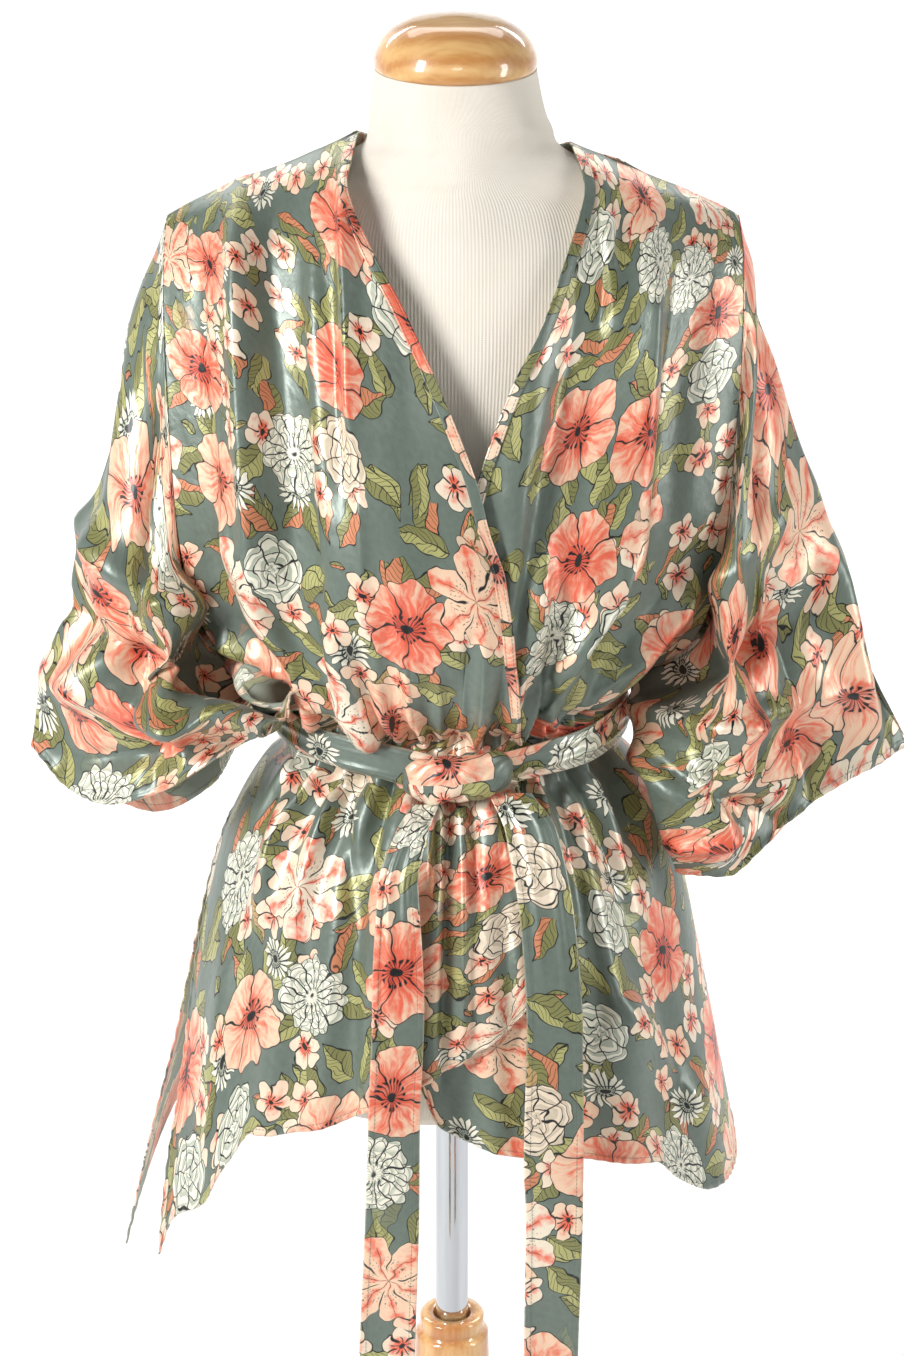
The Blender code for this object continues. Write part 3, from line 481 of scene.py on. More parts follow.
def front_panel(edge, hem, sign, above, below, columns):
    """Inner points of one front, rows down and columns from its free edge to its side."""
    share = np.linspace(0, 1, columns)[None, :]
    top = np.full(columns, SHOULDER_LEVEL)
    level = row_levels(top, smooth(hem, "share", "level", share[0]), above, below)
    start = edge_turn(edge, level)
    end = -smooth(RIGHT_SIDE, "level", "turn", level) if sign < 0 else np.ones_like(level)
    turn = start + (end - start) * share
    grid = body_point(turn, level, "front")
    lift = fold_height(FRONT_FOLDS, share_across(turn, level), level) * ease(0, 0.12, 1 - np.abs(turn))
    if sign < 0:
        lift = lift + OVERLAP_LIFT * ease(-0.55, -0.22, turn) * ease(0, 0.03, SHOULDER_LEVEL - level)
    return grid + outward(grid) * lift[..., None], turn, level


def neck_turns():
    """Turns of the two points where the neck edges meet the shoulder ridge."""
    return edge_turn(RIGHT_EDGE, SHOULDER_LEVEL), edge_turn(LEFT_EDGE, SHOULDER_LEVEL)


def back_panel(above, below, shoulder, neck):
    """Inner points of the back, with columns for each shoulder and for the neck."""
    right, left = neck_turns()
    turn = np.concatenate([
        np.linspace(-1, right, shoulder), np.linspace(right, left, neck)[1:-1],
        np.linspace(left, 1, shoulder)])
    dip = np.clip(1 - ((turn - (left + right) / 2) / (left - right) * 2) ** 2, 0, 1)
    top = SHOULDER_LEVEL - BACK_NECK_DROP * dip
    level = row_levels(top, smooth(BACK_HEM, "turn", "level", turn), above, below)
    turn = np.repeat(turn[None, :], len(level), 0)
    grid = body_point(turn, level, "back")
    lift = fold_height(BACK_FOLDS, share_across(turn, level), level) * ease(0, 0.12, 1 - np.abs(turn))
    return grid + outward(grid) * lift[..., None], turn, level


def armhole(sign, above):
    """Armhole loop through the panels' side points: down the front, then up the back, and its shares."""
    level = row_levels(np.array([SHOULDER_LEVEL]), np.array([0.0]), above, 0)[:, 0]
    side = np.full(above, sign)
    loop = np.concatenate([body_point(side, level, "front"), body_point(side, level, "back")[-2:0:-1]])
    down = (SHOULDER_LEVEL - level) / (SHOULDER_LEVEL - level[-1]) / 2
    return loop, np.concatenate([down, 1 - down[-2:0:-1]])


def sleeve(cuff, sign, bow, pull, push, above, along):
    """Points of a sleeve, rows along it and columns round it, with their shares round and along."""
    start, share = armhole(sign, above)
    under = np.exp(-((share - 0.46) / 0.10) ** 2)[:, None]
    start = start + np.array([sign, 0, 0]) * (SEAM + 0.0065 * under)
    end = np.stack([smooth(cuff, "share", c, share) for c in "xyz"], -1)
    step = np.linspace(0, 1, along)[:, None, None]
    grid = start * (1 - step) + end * step
    arch = np.sin(math.pi * step[..., 0])
    swell = arch ** 2 * np.sin(2 * math.pi * share)[None, :]
    grid[..., 0] += sign * arch * (bow * (0.5 + 0.5 * np.cos(2 * math.pi * share)) + push * under[:, 0])
    grid[..., 1] -= arch * pull * under[:, 0]
    crease = np.cos(10 * math.pi * share + 3 * step[..., 0])
    grid[..., 1] -= swell * (0.016 + 0.004 * crease)
    return grid, share[None, :], step[..., 0]


def belt_ring(columns):
    """Centre points and outward directions of the belt, once round the waist."""
    turn = np.arange(columns) / columns * 4 - 2
    front = np.abs(turn) <= 1
    folded = np.where(front, turn, np.sign(turn) * (2 - np.abs(turn)))
    level = np.full_like(turn, BELT_LEVEL)
    ring = np.where(front[:, None], body_point(folded, level, "front"), body_point(folded, level, "back"))
    ahead = np.roll(ring, -1, 0) - np.roll(ring, 1, 0)
    out = np.stack([ahead[:, 1], -ahead[:, 0], np.zeros(columns)], -1)
    out = out / np.linalg.norm(out, axis=1, keepdims=True)
    return turn, ring, out


def crease_lift(table, x, z):
    """Soft ridges and troughs along straight lines on the cloth as seen from the front or back."""
    out = np.zeros(x.shape)
    for x0, z0, x1, z1, wide, narrow, height in table:
        run, rise = x1 - x0, z1 - z0
        length = math.hypot(run, rise)
        step = ((x - x0) * run + (z - z0) * rise) / length ** 2
        off = ((x - x0) * rise - (z - z0) * run) / length
        inside = np.clip(step, 0, 1)
        width = wide + (narrow - wide) * inside
        ends = ease(-0.25, 0.15, step) * ease(-0.25, 0.15, 1 - step)
        out = out + CREASE_DEPTH * height * ends * np.exp(-np.abs(off / width) ** 1.7)
    return out


def gather_lift(table, across, level):
    """Gathers that fan out from the belt, upwards where reach is above nought and else downwards."""
    out = np.zeros(across.shape)
    for at, fan, reach, height in table:
        far = (level - BELT_LEVEL) / reach
        middle = at + fan * np.clip(far, 0, 1)
        width = 0.026 + 0.044 * np.clip(far, 0, 1)
        side = np.where(across > middle, 0.75, 1.25)
        off = (across - middle) / (width * side)
        grow = ease(0.0, 0.10, far) * (1 - ease(0.30, 1.0, far))
        out = out + GATHER_DEPTH * height * grow * np.exp(-np.abs(off) ** 1.5)
    return out


def held_off(lift, level):
    """Lift whose troughs are held off the form: hardly any on the shoulders, deeper ones lower down."""
    floor = 0.0012 + 0.0068 * ease(1.32, 1.20, level)
    return np.where(lift < 0, floor * np.tanh(lift / floor), lift)


def raised(grid, turn, level, lift):
    """A panel's points with their lift, which dies out at the side seams and is pressed by the belt."""
    pressed = 0.20 + 0.80 * ease(0.010, 0.019, np.abs(level - BELT_LEVEL))
    lift = held_off(lift * ease(0, 0.14, 1 - np.abs(turn)) * pressed, level)
    return grid + outward(grid) * lift[..., None]


def ripple(u, v):
    """Faint unevenness of hanging satin, from cloth places in metres."""
    slow = np.sin(41 * u + 1.7 * np.sin(19 * v)) * np.sin(17 * v + 1.3 * np.sin(23 * u))
    fine = np.sin(97 * u + 2.1 * np.sin(31 * v + 0.6)) * np.sin(43 * v + 1.9 * np.sin(61 * u))
    return 0.0007 * slow + 0.00035 * fine


def lengths(grid, wrap=False):
    """Cloth places of a grid: mean run across and down, in metres."""
    wide = np.concatenate([grid, grid[:, :1]], 1) if wrap else grid
    across = np.linalg.norm(np.diff(wide, axis=1), axis=2)
    u = np.concatenate([np.zeros((len(grid), 1)), np.cumsum(across, 1)], 1)
    down = np.linalg.norm(np.diff(grid, axis=0), axis=2).mean(1)
    v = np.concatenate([[0.0], np.cumsum(down)])[:, None] + 0 * u
    return u, v


def front_grid(edge, hem, sign):
    """One front's points, with its folds, gathers and creases."""
    grid, turn, level = front_panel(edge, hem, sign, ROWS_ABOVE, ROWS_BELOW, FRONT_COLUMNS)
    across = share_across(turn, level)
    lift = gather_lift(FRONT_GATHERS, across, level) + gather_lift(FRONT_FLARES, across, level)
    lift = lift + crease_lift(FRONT_CREASES, grid[..., 0], grid[..., 2])
    return raised(grid, turn, level, lift + ripple(across * 0.2, level))


def behind_grid():
    """The back's points, with its folds, gathers and creases."""
    grid, turn, level = back_panel(ROWS_ABOVE, ROWS_BELOW, SHOULDER_COLUMNS, NECK_COLUMNS)
    across = share_across(turn, level)
    lift = gather_lift(BACK_GATHERS, across, level) + gather_lift(BACK_FLARES, across, level)
    lift = lift + crease_lift(BACK_CREASES, grid[..., 0], grid[..., 2])
    return raised(grid, turn, level, lift + ripple(across * 0.2, level + 3))


def sleeve_grid(cuff, sign, bow, pull, push, creases):
    """A sleeve's points from its armhole to its cuff, with its creases, starting at the underarm."""
    grid, share, step = sleeve(cuff, sign, bow, pull, push, SLEEVE_ROWS, SLEEVE_ROWS)
    out = outward(grid, True, (sign * SLEEVE_AXIS, 0.0))
    lift = crease_lift(creases, grid[..., 0], grid[..., 2])
    lift = (lift + ripple(0.3 * share + 0 * step, 0.35 * step + 7)) * ease(0, 0.12, step)
    grid = grid + out * lift[..., None]
    return np.roll(grid, -int(np.argmin(np.abs(share[0] - 0.5))), 1)


def shell(name, inner, outer, mats, uv, edge=None, wrap=False):
    """A closed thin wall between two grids, with cloth places and hem distances as its UV maps."""
    rows, cols = inner.shape[:2]
    size, last = rows * cols, cols if wrap else cols - 1
    r, c = np.meshgrid(np.arange(rows - 1), np.arange(last), indexing="ij")
    d = (c + 1) % cols
    a, b, e, f = r * cols + c, r * cols + d, (r + 1) * cols + d, (r + 1) * cols + c
    front = np.stack([a, f, e, b], -1).reshape(-1, 4)
    rear = size + np.stack([a, b, e, f], -1).reshape(-1, 4)
    wide = cols + 1 if wrap else cols
    k = [r * wide + c, (r + 1) * wide + c, (r + 1) * wide + c + 1, r * wide + c + 1]
    front_uv = np.stack(k, -1).reshape(-1, 4)
    rear_uv = np.stack([k[0], k[3], k[2], k[1]], -1).reshape(-1, 4)
    faces, places = [front, rear], [front_uv, rear_uv]
    for row in (0, rows - 1):
        p, q = row * cols + np.arange(last), row * cols + (np.arange(last) + 1) % cols
        s, t = row * wide + np.arange(last), row * wide + np.arange(last) + 1
        order = (p, q, size + q, size + p) if row == 0 else (q, p, size + p, size + q)
        faces.append(np.stack(order, -1))
        places.append(np.stack((s, t, t, s) if row == 0 else (t, s, s, t), -1))
    for col in (() if wrap else (0, cols - 1)):
        p, q = np.arange(rows - 1) * cols + col, np.arange(1, rows) * cols + col
        order = (q, p, size + p, size + q) if col == 0 else (p, q, size + q, size + p)
        faces.append(np.stack(order, -1))
        places.append(np.stack((q, p, p, q) if col == 0 else (p, q, q, p), -1))
    faces, places = np.concatenate(faces), np.concatenate(places)
    mesh = bpy.data.meshes.new(name)
    points = np.concatenate([inner.reshape(-1, 3), outer.reshape(-1, 3)])
    mesh.from_pydata(points.tolist(), [], faces.tolist())
    for mat in mats:
        mesh.materials.append(mat)
    slots = np.zeros(len(faces), np.int32)
    slots[:len(front)] = len(mats) - 1
    mesh.polygons.foreach_set("material_index", slots)
    mesh.polygons.foreach_set("use_smooth", np.ones(len(faces), bool))
    for label, pair in (("Cloth", uv), ("Edge", edge)):
        if pair is not None:
            flat = np.stack(np.broadcast_arrays(*pair), -1).reshape(-1, 2)
            mesh.uv_layers.new(name=label).data.foreach_set("uv", flat[places.reshape(-1)].reshape(-1))
    return link(name, mesh)


def link(name, mesh):
    """A linked object of a mesh, its faces checked to point outwards."""
    bm = bmesh.new()
    bm.from_mesh(mesh)
    if bm.calc_volume(signed=True) < 0:
        bmesh.ops.reverse_faces(bm, faces=bm.faces)
        bm.to_mesh(mesh)
    bm.free()
    obj = bpy.data.objects.new(name, mesh)
    bpy.context.scene.collection.objects.link(obj)
    return obj


class Drawing:
    """Short calls that add nodes to a material or group."""

    def __init__(self, tree):
        self.tree = tree

    def add(self, kind, values, out=0, **settings):
        """A node with its inputs set or linked by name or place, and one of its outputs."""
        node = self.tree.nodes.new("ShaderNode" + kind)
        for key, value in settings.items():
            setattr(node, key, value)
        for key, value in values.items():
            if isinstance(value, bpy.types.NodeSocket):
                self.tree.links.new(value, node.inputs[key])
            elif isinstance(value, tuple) and len(value) == 3 and node.inputs[key].type == "RGBA":
                node.inputs[key].default_value = (*value, 1)
            else:
                node.inputs[key].default_value = value
        return node.outputs[out]

    def math(self, operation, *values):
        """One operation on numbers."""
        return self.add("Math", dict(enumerate(values)), operation=operation)

    def times(self, first, second):
        """The product of two numbers."""
        return self.math("MULTIPLY", first, second)

    def plus(self, first, second):
        """The sum of two numbers."""
        return self.math("ADD", first, second)

    def minus(self, first, second):
        """The first number less the second."""
        return self.math("SUBTRACT", first, second)

    def affine(self, value, factor, added):
        """A number times a factor, with another one added."""
        return self.math("MULTIPLY_ADD", value, factor, added)

    def most(self, first, second):
        """The larger of two numbers."""
        return self.math("MAXIMUM", first, second)

    def size(self, value):
        """A number without its sign."""
        return self.math("ABSOLUTE", value)

    def vector(self, operation, *values, out=0):
        """One operation on vectors."""
        return self.add("VectorMath", dict(enumerate(values)), out, operation=operation)

    def step(self, value, low, high):
        """0 below low, 1 above high and a soft step between."""
        return self.add("MapRange", {0: value, 1: low, 2: high}, interpolation_type="SMOOTHSTEP")

    def line(self, distance, width):
        """1 on a line of that half width, 0 off it."""
        return self.step(self.size(distance), width * 1.35, width * 0.65)

    def mix(self, share, first, second):
        """A mix of two colours."""
        return self.add("Mix", {0: share, 6: first, 7: second}, 2, data_type="RGBA")

    def noise(self, place, scale, detail=2.0, out=0):
        """Flat noise, from 0 to 1."""
        values = {"Vector": place, "Scale": scale, "Detail": detail}
        return self.add("TexNoise", values, out, noise_dimensions="2D")

    def cells(self, place, spacing, randomness, out, feature="F1"):
        """One output of flat random cells."""
        values = {"Vector": place, "Scale": 1 / spacing, "Randomness": randomness}
        return self.add("TexVoronoi", values, out, voronoi_dimensions="2D", feature=feature)

    def split(self, vector):
        """The three numbers of a vector."""
        node = self.tree.nodes.new("ShaderNodeSeparateXYZ")
        self.tree.links.new(vector, node.inputs[0])
        return node.outputs[0], node.outputs[1], node.outputs[2]

    def petals(self, angle, count):
        """Place across one petal of a flower, from -0.5 to 0.5."""
        turns = self.math("MULTIPLY", angle, count / (2 * math.pi))
        return self.math("SUBTRACT", self.math("FRACT", turns), 0.5)


def flower_cells(d, place, spacing, randomness, shift):
    """Places round the nearest flower: offset, run out, angle, the cell's random numbers and middle."""
    moved = d.vector("ADD", place, (shift, shift * 0.61, 0))
    middle = d.cells(moved, spacing, randomness, "Position")
    chance = d.split(d.cells(moved, spacing, randomness, "Color"))
    offset = d.vector("SUBTRACT", moved, middle)
    x, y, _ = d.split(offset)
    out = d.vector("LENGTH", offset, out="Value")
    angle = d.plus(d.math("ARCTAN2", y, x), d.affine(chance[0], 6.283, 6.283))
    return offset, out, angle, chance, middle


def round_petals(d, out, angle, radius, count, notch, power):
    """A petalled disc: its cover, its ink lines, the share of the way out and the place across a petal."""
    across = d.petals(angle, count)
    half = d.times(d.size(across), 2)
    limit = d.affine(d.math("POWER", half, power), -notch * radius, radius)
    cover = d.step(d.minus(limit, out), -0.0002, 0.0002)
    rim = d.line(d.minus(limit, out), 0.00075)
    share = d.math("DIVIDE", out, radius)
    join = d.times(d.minus(1.0, half), d.times(out, math.pi / count))
    seam = d.times(d.line(join, 0.00055), d.step(share, 0.16, 0.26))
    return cover, d.most(rim, seam), share, half, across


def poppy(d, out, angle, grain, tone):
    """A wide coral flower with dark stamens."""
    cover, ink, share, half, _ = round_petals(d, out, angle, 0.036, 5, 0.17, 2.6)
    spread = d.add("CombineXYZ", {0: d.times(angle, 6), 1: d.times(share, 2)})
    streak = d.noise(spread, 1.0, 3)
    wash = d.plus(d.times(streak, 1.5), d.times(share, 0.55))
    wash = d.plus(wash, d.affine(tone, 0.45, d.times(grain, 0.5)))
    colour = d.mix(d.step(wash, 1.15, 1.95), CORAL, PEACH)
    colour = d.mix(d.times(d.step(share, 0.50, 0.12), 0.6), colour, DEEP)
    colour = d.mix(d.times(d.step(half, 0.70, 1.0), 0.22), colour, DEEP)
    ray = d.size(d.petals(angle, 60))
    vein = d.times(d.step(ray, 0.42, 0.49), d.step(grain, 0.50, 0.58))
    vein = d.times(vein, d.times(d.step(share, 0.30, 0.42), d.step(share, 0.86, 0.7)))
    colour = d.mix(d.times(vein, 0.35), colour, DEEP)
    spoke = d.size(d.petals(angle, 17))
    stamen = d.times(d.step(spoke, 0.16, 0.08), d.step(share, 0.30, 0.26))
    ring = d.times(d.step(spoke, 0.30, 0.22), d.line(d.minus(share, 0.28), 0.032))
    heart = d.most(d.step(share, 0.13, 0.10), d.most(stamen, ring))
    return cover, d.mix(d.most(ink, heart), colour, INK)


def lily(d, out, angle, grain, tone):
    """A cream and coral flower with six pointed petals and specks."""
    cover, ink, share, half, across = round_petals(d, out, angle, 0.039, 6, 0.42, 2.3)
    wash = d.plus(half, d.times(grain, 0.9))
    pale = d.mix(d.step(tone, 0.45, 0.55), CREAM, PEACH)
    colour = d.mix(d.step(wash, 0.95, 0.30), pale, CORAL)
    rib = d.times(across, d.times(out, 2 * math.pi / 6))
    rib = d.times(d.line(rib, 0.00028), d.step(share, 0.78, 0.7))
    dots = d.times(d.step(d.petals(angle, 36), -0.16, -0.30), d.step(share, 0.62, 0.5))
    beads = d.math("FRACT", d.affine(grain, 3.0, d.times(share, 9)))
    dots = d.times(d.times(dots, d.step(beads, 0.30, 0.22)), d.step(share, 0.2, 0.25))
    marks = d.most(d.times(rib, 0.6), d.times(dots, 0.8))
    return cover, d.mix(d.most(ink, marks), colour, INK)


def dahlia(d, out, angle, grain):
    """A pale flower of many rings of small petals."""
    cover, ink, share, _, _ = round_petals(d, out, angle, 0.030, 15, 0.10, 1.6)
    ring = d.times(share, 4.6)
    part = d.math("FRACT", ring)
    shifted = d.affine(d.math("FLOOR", ring), 0.5 * 2 * math.pi / 13, angle)
    half = d.times(d.size(d.petals(shifted, 13)), 2)
    tip = d.affine(d.times(half, half), -0.62, 0.92)
    arc = d.line(d.times(d.minus(part, tip), 0.0065), 0.00034)
    side = d.times(d.minus(1.0, half), d.times(out, math.pi / 13))
    side = d.times(d.line(side, 0.00030), d.step(part, 0.36, 0.28))
    colour = d.mix(d.step(d.affine(grain, 0.5, part), 0.85, 0.30), WHITE, MIST)
    return cover, d.mix(d.most(ink, d.most(arc, side)), colour, INK)


def rose(d, out, angle, grain, tone):
    """A pale flower of loose curling petals."""
    cover, ink, share, _, _ = round_petals(d, out, angle, 0.0265, 7, 0.13, 2.2)
    curl = d.size(d.petals(d.affine(share, 2.2, angle), 4))
    ring = d.plus(d.times(share, 4.1), d.times(angle, 1 / (2 * math.pi)))
    ring = d.plus(ring, d.times(curl, 0.85))
    part = d.minus(d.math("FRACT", ring), 0.5)
    arc = d.line(d.times(part, 0.0062), 0.00038)
    colour = d.mix(d.step(d.affine(grain, 0.8, part), 0.10, 0.70), WHITE, MIST)
    colour = d.mix(d.times(d.step(tone, 0.5, 0.6), 0.45), colour, PEACH)
    return cover, d.mix(d.most(ink, arc), colour, INK)


def mum(d, out, angle, grain):
    """A small white flower of thin pointed petals round a dark heart."""
    cover, ink, share, half, _ = round_petals(d, out, angle, 0.0175, 16, 0.34, 1.0)
    gap = d.times(d.step(half, 0.56, 0.74), d.step(share, 0.20, 0.28))
    ring = d.line(d.minus(out, 0.0062), 0.0004)
    colour = d.mix(d.step(d.affine(grain, 0.5, share), 1.0, 0.45), WHITE, MIST)
    heart = d.most(ring, d.step(share, 0.20, 0.15))
    marks = d.most(d.times(gap, 0.85), heart)
    return cover, d.mix(d.most(ink, marks), colour, INK)


def blossom(d, out, angle, grain, tone):
    """A small flower of five petals with a coral heart."""
    cover, ink, share, _, _ = round_petals(d, out, angle, 0.0158, 5, 0.34, 2.0)
    wash = d.affine(grain, 0.9, share)
    colour = d.mix(d.step(wash, 1.10, 0.55), d.mix(tone, PEACH, CREAM), CORAL)
    spoke = d.size(d.petals(angle, 5))
    heart = d.times(d.step(spoke, 0.10, 0.04), d.step(share, 0.40, 0.34))
    heart = d.most(heart, d.step(share, 0.15, 0.10))
    return cover, d.mix(d.most(ink, heart), colour, INK)


def leaf(d, offset, turn, long, wide, chance):
    """A pointed leaf along its own direction, with its ribs and outline."""
    x, y, _ = d.split(d.add("VectorRotate", {"Vector": offset, "Angle": turn}, rotation_type="Z_AXIS"))
    share = d.math("DIVIDE", x, long)
    square = d.times(share, share)
    taper = d.affine(share, -0.28 * wide, wide)
    limit = d.times(d.minus(1.0, square), taper)
    side = d.size(y)
    gap = d.minus(limit, side)
    ink = d.most(d.step(gap, 0.0005, 0.0002), d.line(y, 0.00038))
    rib = d.math("FRACT", d.times(d.affine(side, -0.9, x), 1 / 0.0046))
    rib = d.times(d.step(rib, 0.19, 0.12), d.step(gap, 0.0006, 0.0014))
    cover = d.step(gap, -0.0007, -0.0004)
    colour = d.mix(d.step(y, -0.0016, 0.0016), OLIVE, MOSS)
    half = d.times(d.step(chance, 0.64, 0.66), d.step(y, 0.0002, -0.0002))
    colour = d.mix(d.times(half, 0.8), colour, RUST)
    return cover, d.mix(d.most(ink, d.times(rib, 0.8)), colour, INK)


def leaf_layer(d, place, below, spacing, shift, near, far, long, wide):
    """Leaves laid over a colour, pointing away from the large flowers within the two distances."""
    offset, _, _, chance, middle = flower_cells(d, place, spacing, 0.8, shift)
    spot = d.vector("SUBTRACT", middle, (shift, shift * 0.61, 0))
    away = d.vector("SUBTRACT", spot, d.cells(spot, BLOOM_SPACING, BLOOM_RANDOM, "Position"))
    x, y, _ = d.split(away)
    gap = d.vector("LENGTH", away, out="Value")
    swing = d.affine(chance[0], 1.4, -0.7)
    turn = d.minus(swing, d.math("ARCTAN2", y, x))
    cover, colour = leaf(d, offset, turn, long, wide, chance[1])
    kept = d.times(d.step(gap, near, near + 0.001), d.step(gap, far, far - 0.001))
    return d.mix(d.times(cover, kept), below, colour)


def chosen(d, chance, low, high):
    """1 where a random number lies between two limits."""
    return d.times(d.math("GREATER_THAN", chance, low), d.math("LESS_THAN", chance, high))


def print_group():
    """The floral print as a node group, from a cloth place in metres to a colour."""
    group = bpy.data.node_groups.new("floral_print", "ShaderNodeTree")
    group.interface.new_socket("Place", in_out="INPUT", socket_type="NodeSocketVector")
    group.interface.new_socket("Colour", in_out="OUTPUT", socket_type="NodeSocketColor")
    d = Drawing(group)
    flat = group.nodes.new("NodeGroupInput").outputs[0]
    wander = d.vector("SUBTRACT", d.noise(flat, 60, 1, 1), (0.5, 0.5, 0.5))
    place = d.vector("MULTIPLY_ADD", wander, (0.011, 0.011, 0.0), flat)
    grain = d.noise(flat, 190, 3)
    colour = d.mix(grain, SAGE_DARK, SAGE)
    colour = leaf_layer(d, place, colour, 0.047, 0.37, 0.040, 0.9, 0.0078, 0.0034)
    colour = leaf_layer(d, place, colour, 0.037, 0.11, 0.028, 0.056, 0.0200, 0.0088)
    colour = leaf_layer(d, place, colour, 0.040, 0.73, 0.031, 0.058, 0.0205, 0.0090)
    _, out, angle, chance, _ = flower_cells(d, place, 0.055, 0.5, 1.31)
    cover, petals = mum(d, out, angle, grain)
    kept = d.times(cover, chosen(d, chance[1], 0.0, 0.22))
    colour = d.mix(kept, colour, petals)
    _, out, angle, chance, middle = flower_cells(d, place, 0.0325, 0.42, 2.17)
    cluster = d.noise(middle, 11, 1)
    cover, petals = blossom(d, out, angle, grain, chance[1])
    colour = d.mix(d.times(cover, d.step(cluster, 0.525, 0.53)), colour, petals)
    _, out, angle, chance, _ = flower_cells(d, place, BLOOM_SPACING, BLOOM_RANDOM, 0.0)
    cover, petals = poppy(d, out, angle, grain, chance[2])
    cover = d.times(cover, d.math("LESS_THAN", chance[1], 0.38))
    kinds = (
        (lily(d, out, angle, grain, chance[2]), 0.38, 0.54),
        (dahlia(d, out, angle, grain), 0.54, 0.67),
        (rose(d, out, angle, grain, chance[2]), 0.67, 0.80),
    )
    for (kind_cover, kind_colour), low, high in kinds:
        here = chosen(d, chance[1], low, high)
        petals = d.mix(here, petals, kind_colour)
        cover = d.affine(kind_cover, here, cover)
    border = d.cells(place, BLOOM_SPACING, BLOOM_RANDOM, 0, "DISTANCE_TO_EDGE")
    border = d.times(border, BLOOM_SPACING)
    petals = d.mix(d.step(border, 0.0007, 0.0003), petals, INK)
    colour = d.mix(cover, colour, petals)
    d.tree.links.new(colour, group.nodes.new("NodeGroupOutput").inputs[0])
    return group


def new_material(name):
    """An empty Principled material and its drawing calls."""
    mat = bpy.data.materials.new(name)
    mat.use_nodes = True
    return mat, Drawing(mat.node_tree), mat.node_tree.nodes["Principled BSDF"]


def finish(d, shader, colour, roughness, height, depth, **fixed):
    """Links a material's colour, roughness and bump, and sets its other sockets."""
    d.tree.links.new(colour, shader.inputs["Base Color"])
    d.tree.links.new(roughness, shader.inputs["Roughness"])
    bump = d.add("Bump", {"Strength": 1.0, "Distance": depth, "Height": height})
    d.tree.links.new(bump, shader.inputs["Normal"])
    for key, value in fixed.items():
        shader.inputs[key.replace("_", " ")].default_value = value


def satin_material(name, group, wrong_side):
    """Printed satin: its weave, faint crinkle and hem stitches, whose dashes carry painted shade. The wrong
    side is duller and paler.
    """
    mat, d, shader = new_material(name)
    place = d.add("UVMap", {}, uv_map="Cloth")
    print_node = mat.node_tree.nodes.new("ShaderNodeGroup")
    print_node.node_tree = group
    d.tree.links.new(place, print_node.inputs[0])
    colour = print_node.outputs[0]
    if wrong_side:
        colour = d.mix(0.30, colour, MIST)
    along, depth, _ = d.split(d.add("UVMap", {}, uv_map="Edge"))
    dash = d.step(d.math("FRACT", d.times(along, 1 / 0.0030)), 0.74, 0.66)
    row = d.line(d.minus(depth, 0.0047), 0.00035)
    stitch_dent_shade = d.times(row, dash)
    # Painted shade: the stitch dashes are darkened towards the dark ground colour where the stitches dent
    # the cloth.
    colour = d.mix(d.times(stitch_dent_shade, 0.55), colour, SAGE_DARK)
    worn = d.times(d.step(depth, 0.0012, 0.0002), d.noise(place, 240, 2))
    colour = d.mix(d.times(worn, 0.5), colour, CREAM)
    x, y, _ = d.split(place)
    slub = d.add("CombineXYZ", {0: d.times(x, 900), 1: d.times(y, 160)})
    weave = d.noise(slub, 1.0, 2)
    crinkle = d.noise(place, 70, 3)
    height = d.affine(weave, 0.045, crinkle)
    height = d.minus(height, d.times(row, 0.35))
    rough = d.affine(weave, 0.10, 0.46 if wrong_side else 0.33)
    finish(d, shader, colour, rough, height, 0.0006, Sheen_Weight=0.10, Sheen_Roughness=0.4,
           Metallic=0.0 if wrong_side else 0.22, Specular_IOR_Level=0.4 if wrong_side else 0.6, IOR=1.6)
    return mat


def jersey_material():
    """Cream ribbed jersey over the form, with painted shade in its rib grooves."""
    mat, d, shader = new_material("jersey_knit")
    place = d.add("UVMap", {}, uv_map="Cloth")
    x, y, _ = d.split(place)
    rib = d.math("SINE", d.times(x, 2 * math.pi / 0.0021))
    loop = d.math("SINE", d.times(y, 2 * math.pi / 0.0012))
    fuzz = d.noise(place, 900, 2)
    cloud = d.noise(place, 18, 2)
    colour = d.mix(cloud, linear(248, 241, 229), linear(240, 231, 216))
    # Painted shade: the cream is darkened in the grooves between the ribs.
    colour = d.mix(d.times(d.step(rib, 0.2, -0.9), 0.10), colour, linear(206, 195, 176))
    height = d.affine(loop, 0.18, d.affine(fuzz, 0.5, rib))
    rough = d.affine(fuzz, 0.1, 0.86)
    finish(d, shader, colour, rough, height, 0.00008, Sheen_Weight=0.3, Sheen_Roughness=0.5)
    return mat


def wood_material(name, along_z, light, dark):
    """Varnished pine with its year rings along one axis."""
    mat, d, shader = new_material(name)
    place = d.add("TexCoord", {}, 3)
    stretch = (9.0, 9.0, 1.1) if along_z else (1.6, 9.0, 7.0)
    wide = d.vector("MULTIPLY", place, stretch)
    bend = d.add("TexNoise", {"Vector": wide, "Scale": 1.6, "Detail": 2.0})
    round_axis = d.vector("MULTIPLY", place, (1, 1, 0) if along_z else (0.12, 1, 1))
    rings = d.vector("LENGTH", round_axis, out="Value")
    wave = d.math("SINE", d.affine(rings, 420.0, d.times(bend, 26.0)))
    fine = d.add("TexNoise", {"Vector": wide, "Scale": 34.0, "Detail": 3.0})
    shade = d.affine(wave, 0.28, d.times(fine, 0.9))
    colour = d.mix(d.step(shade, -0.05, 0.95), linear(*light), linear(*dark))
    rough = d.affine(fine, 0.10, 0.26)
    finish(d, shader, colour, rough, fine, 0.00008, Coat_Weight=0.9, Coat_Roughness=0.07)
    return mat


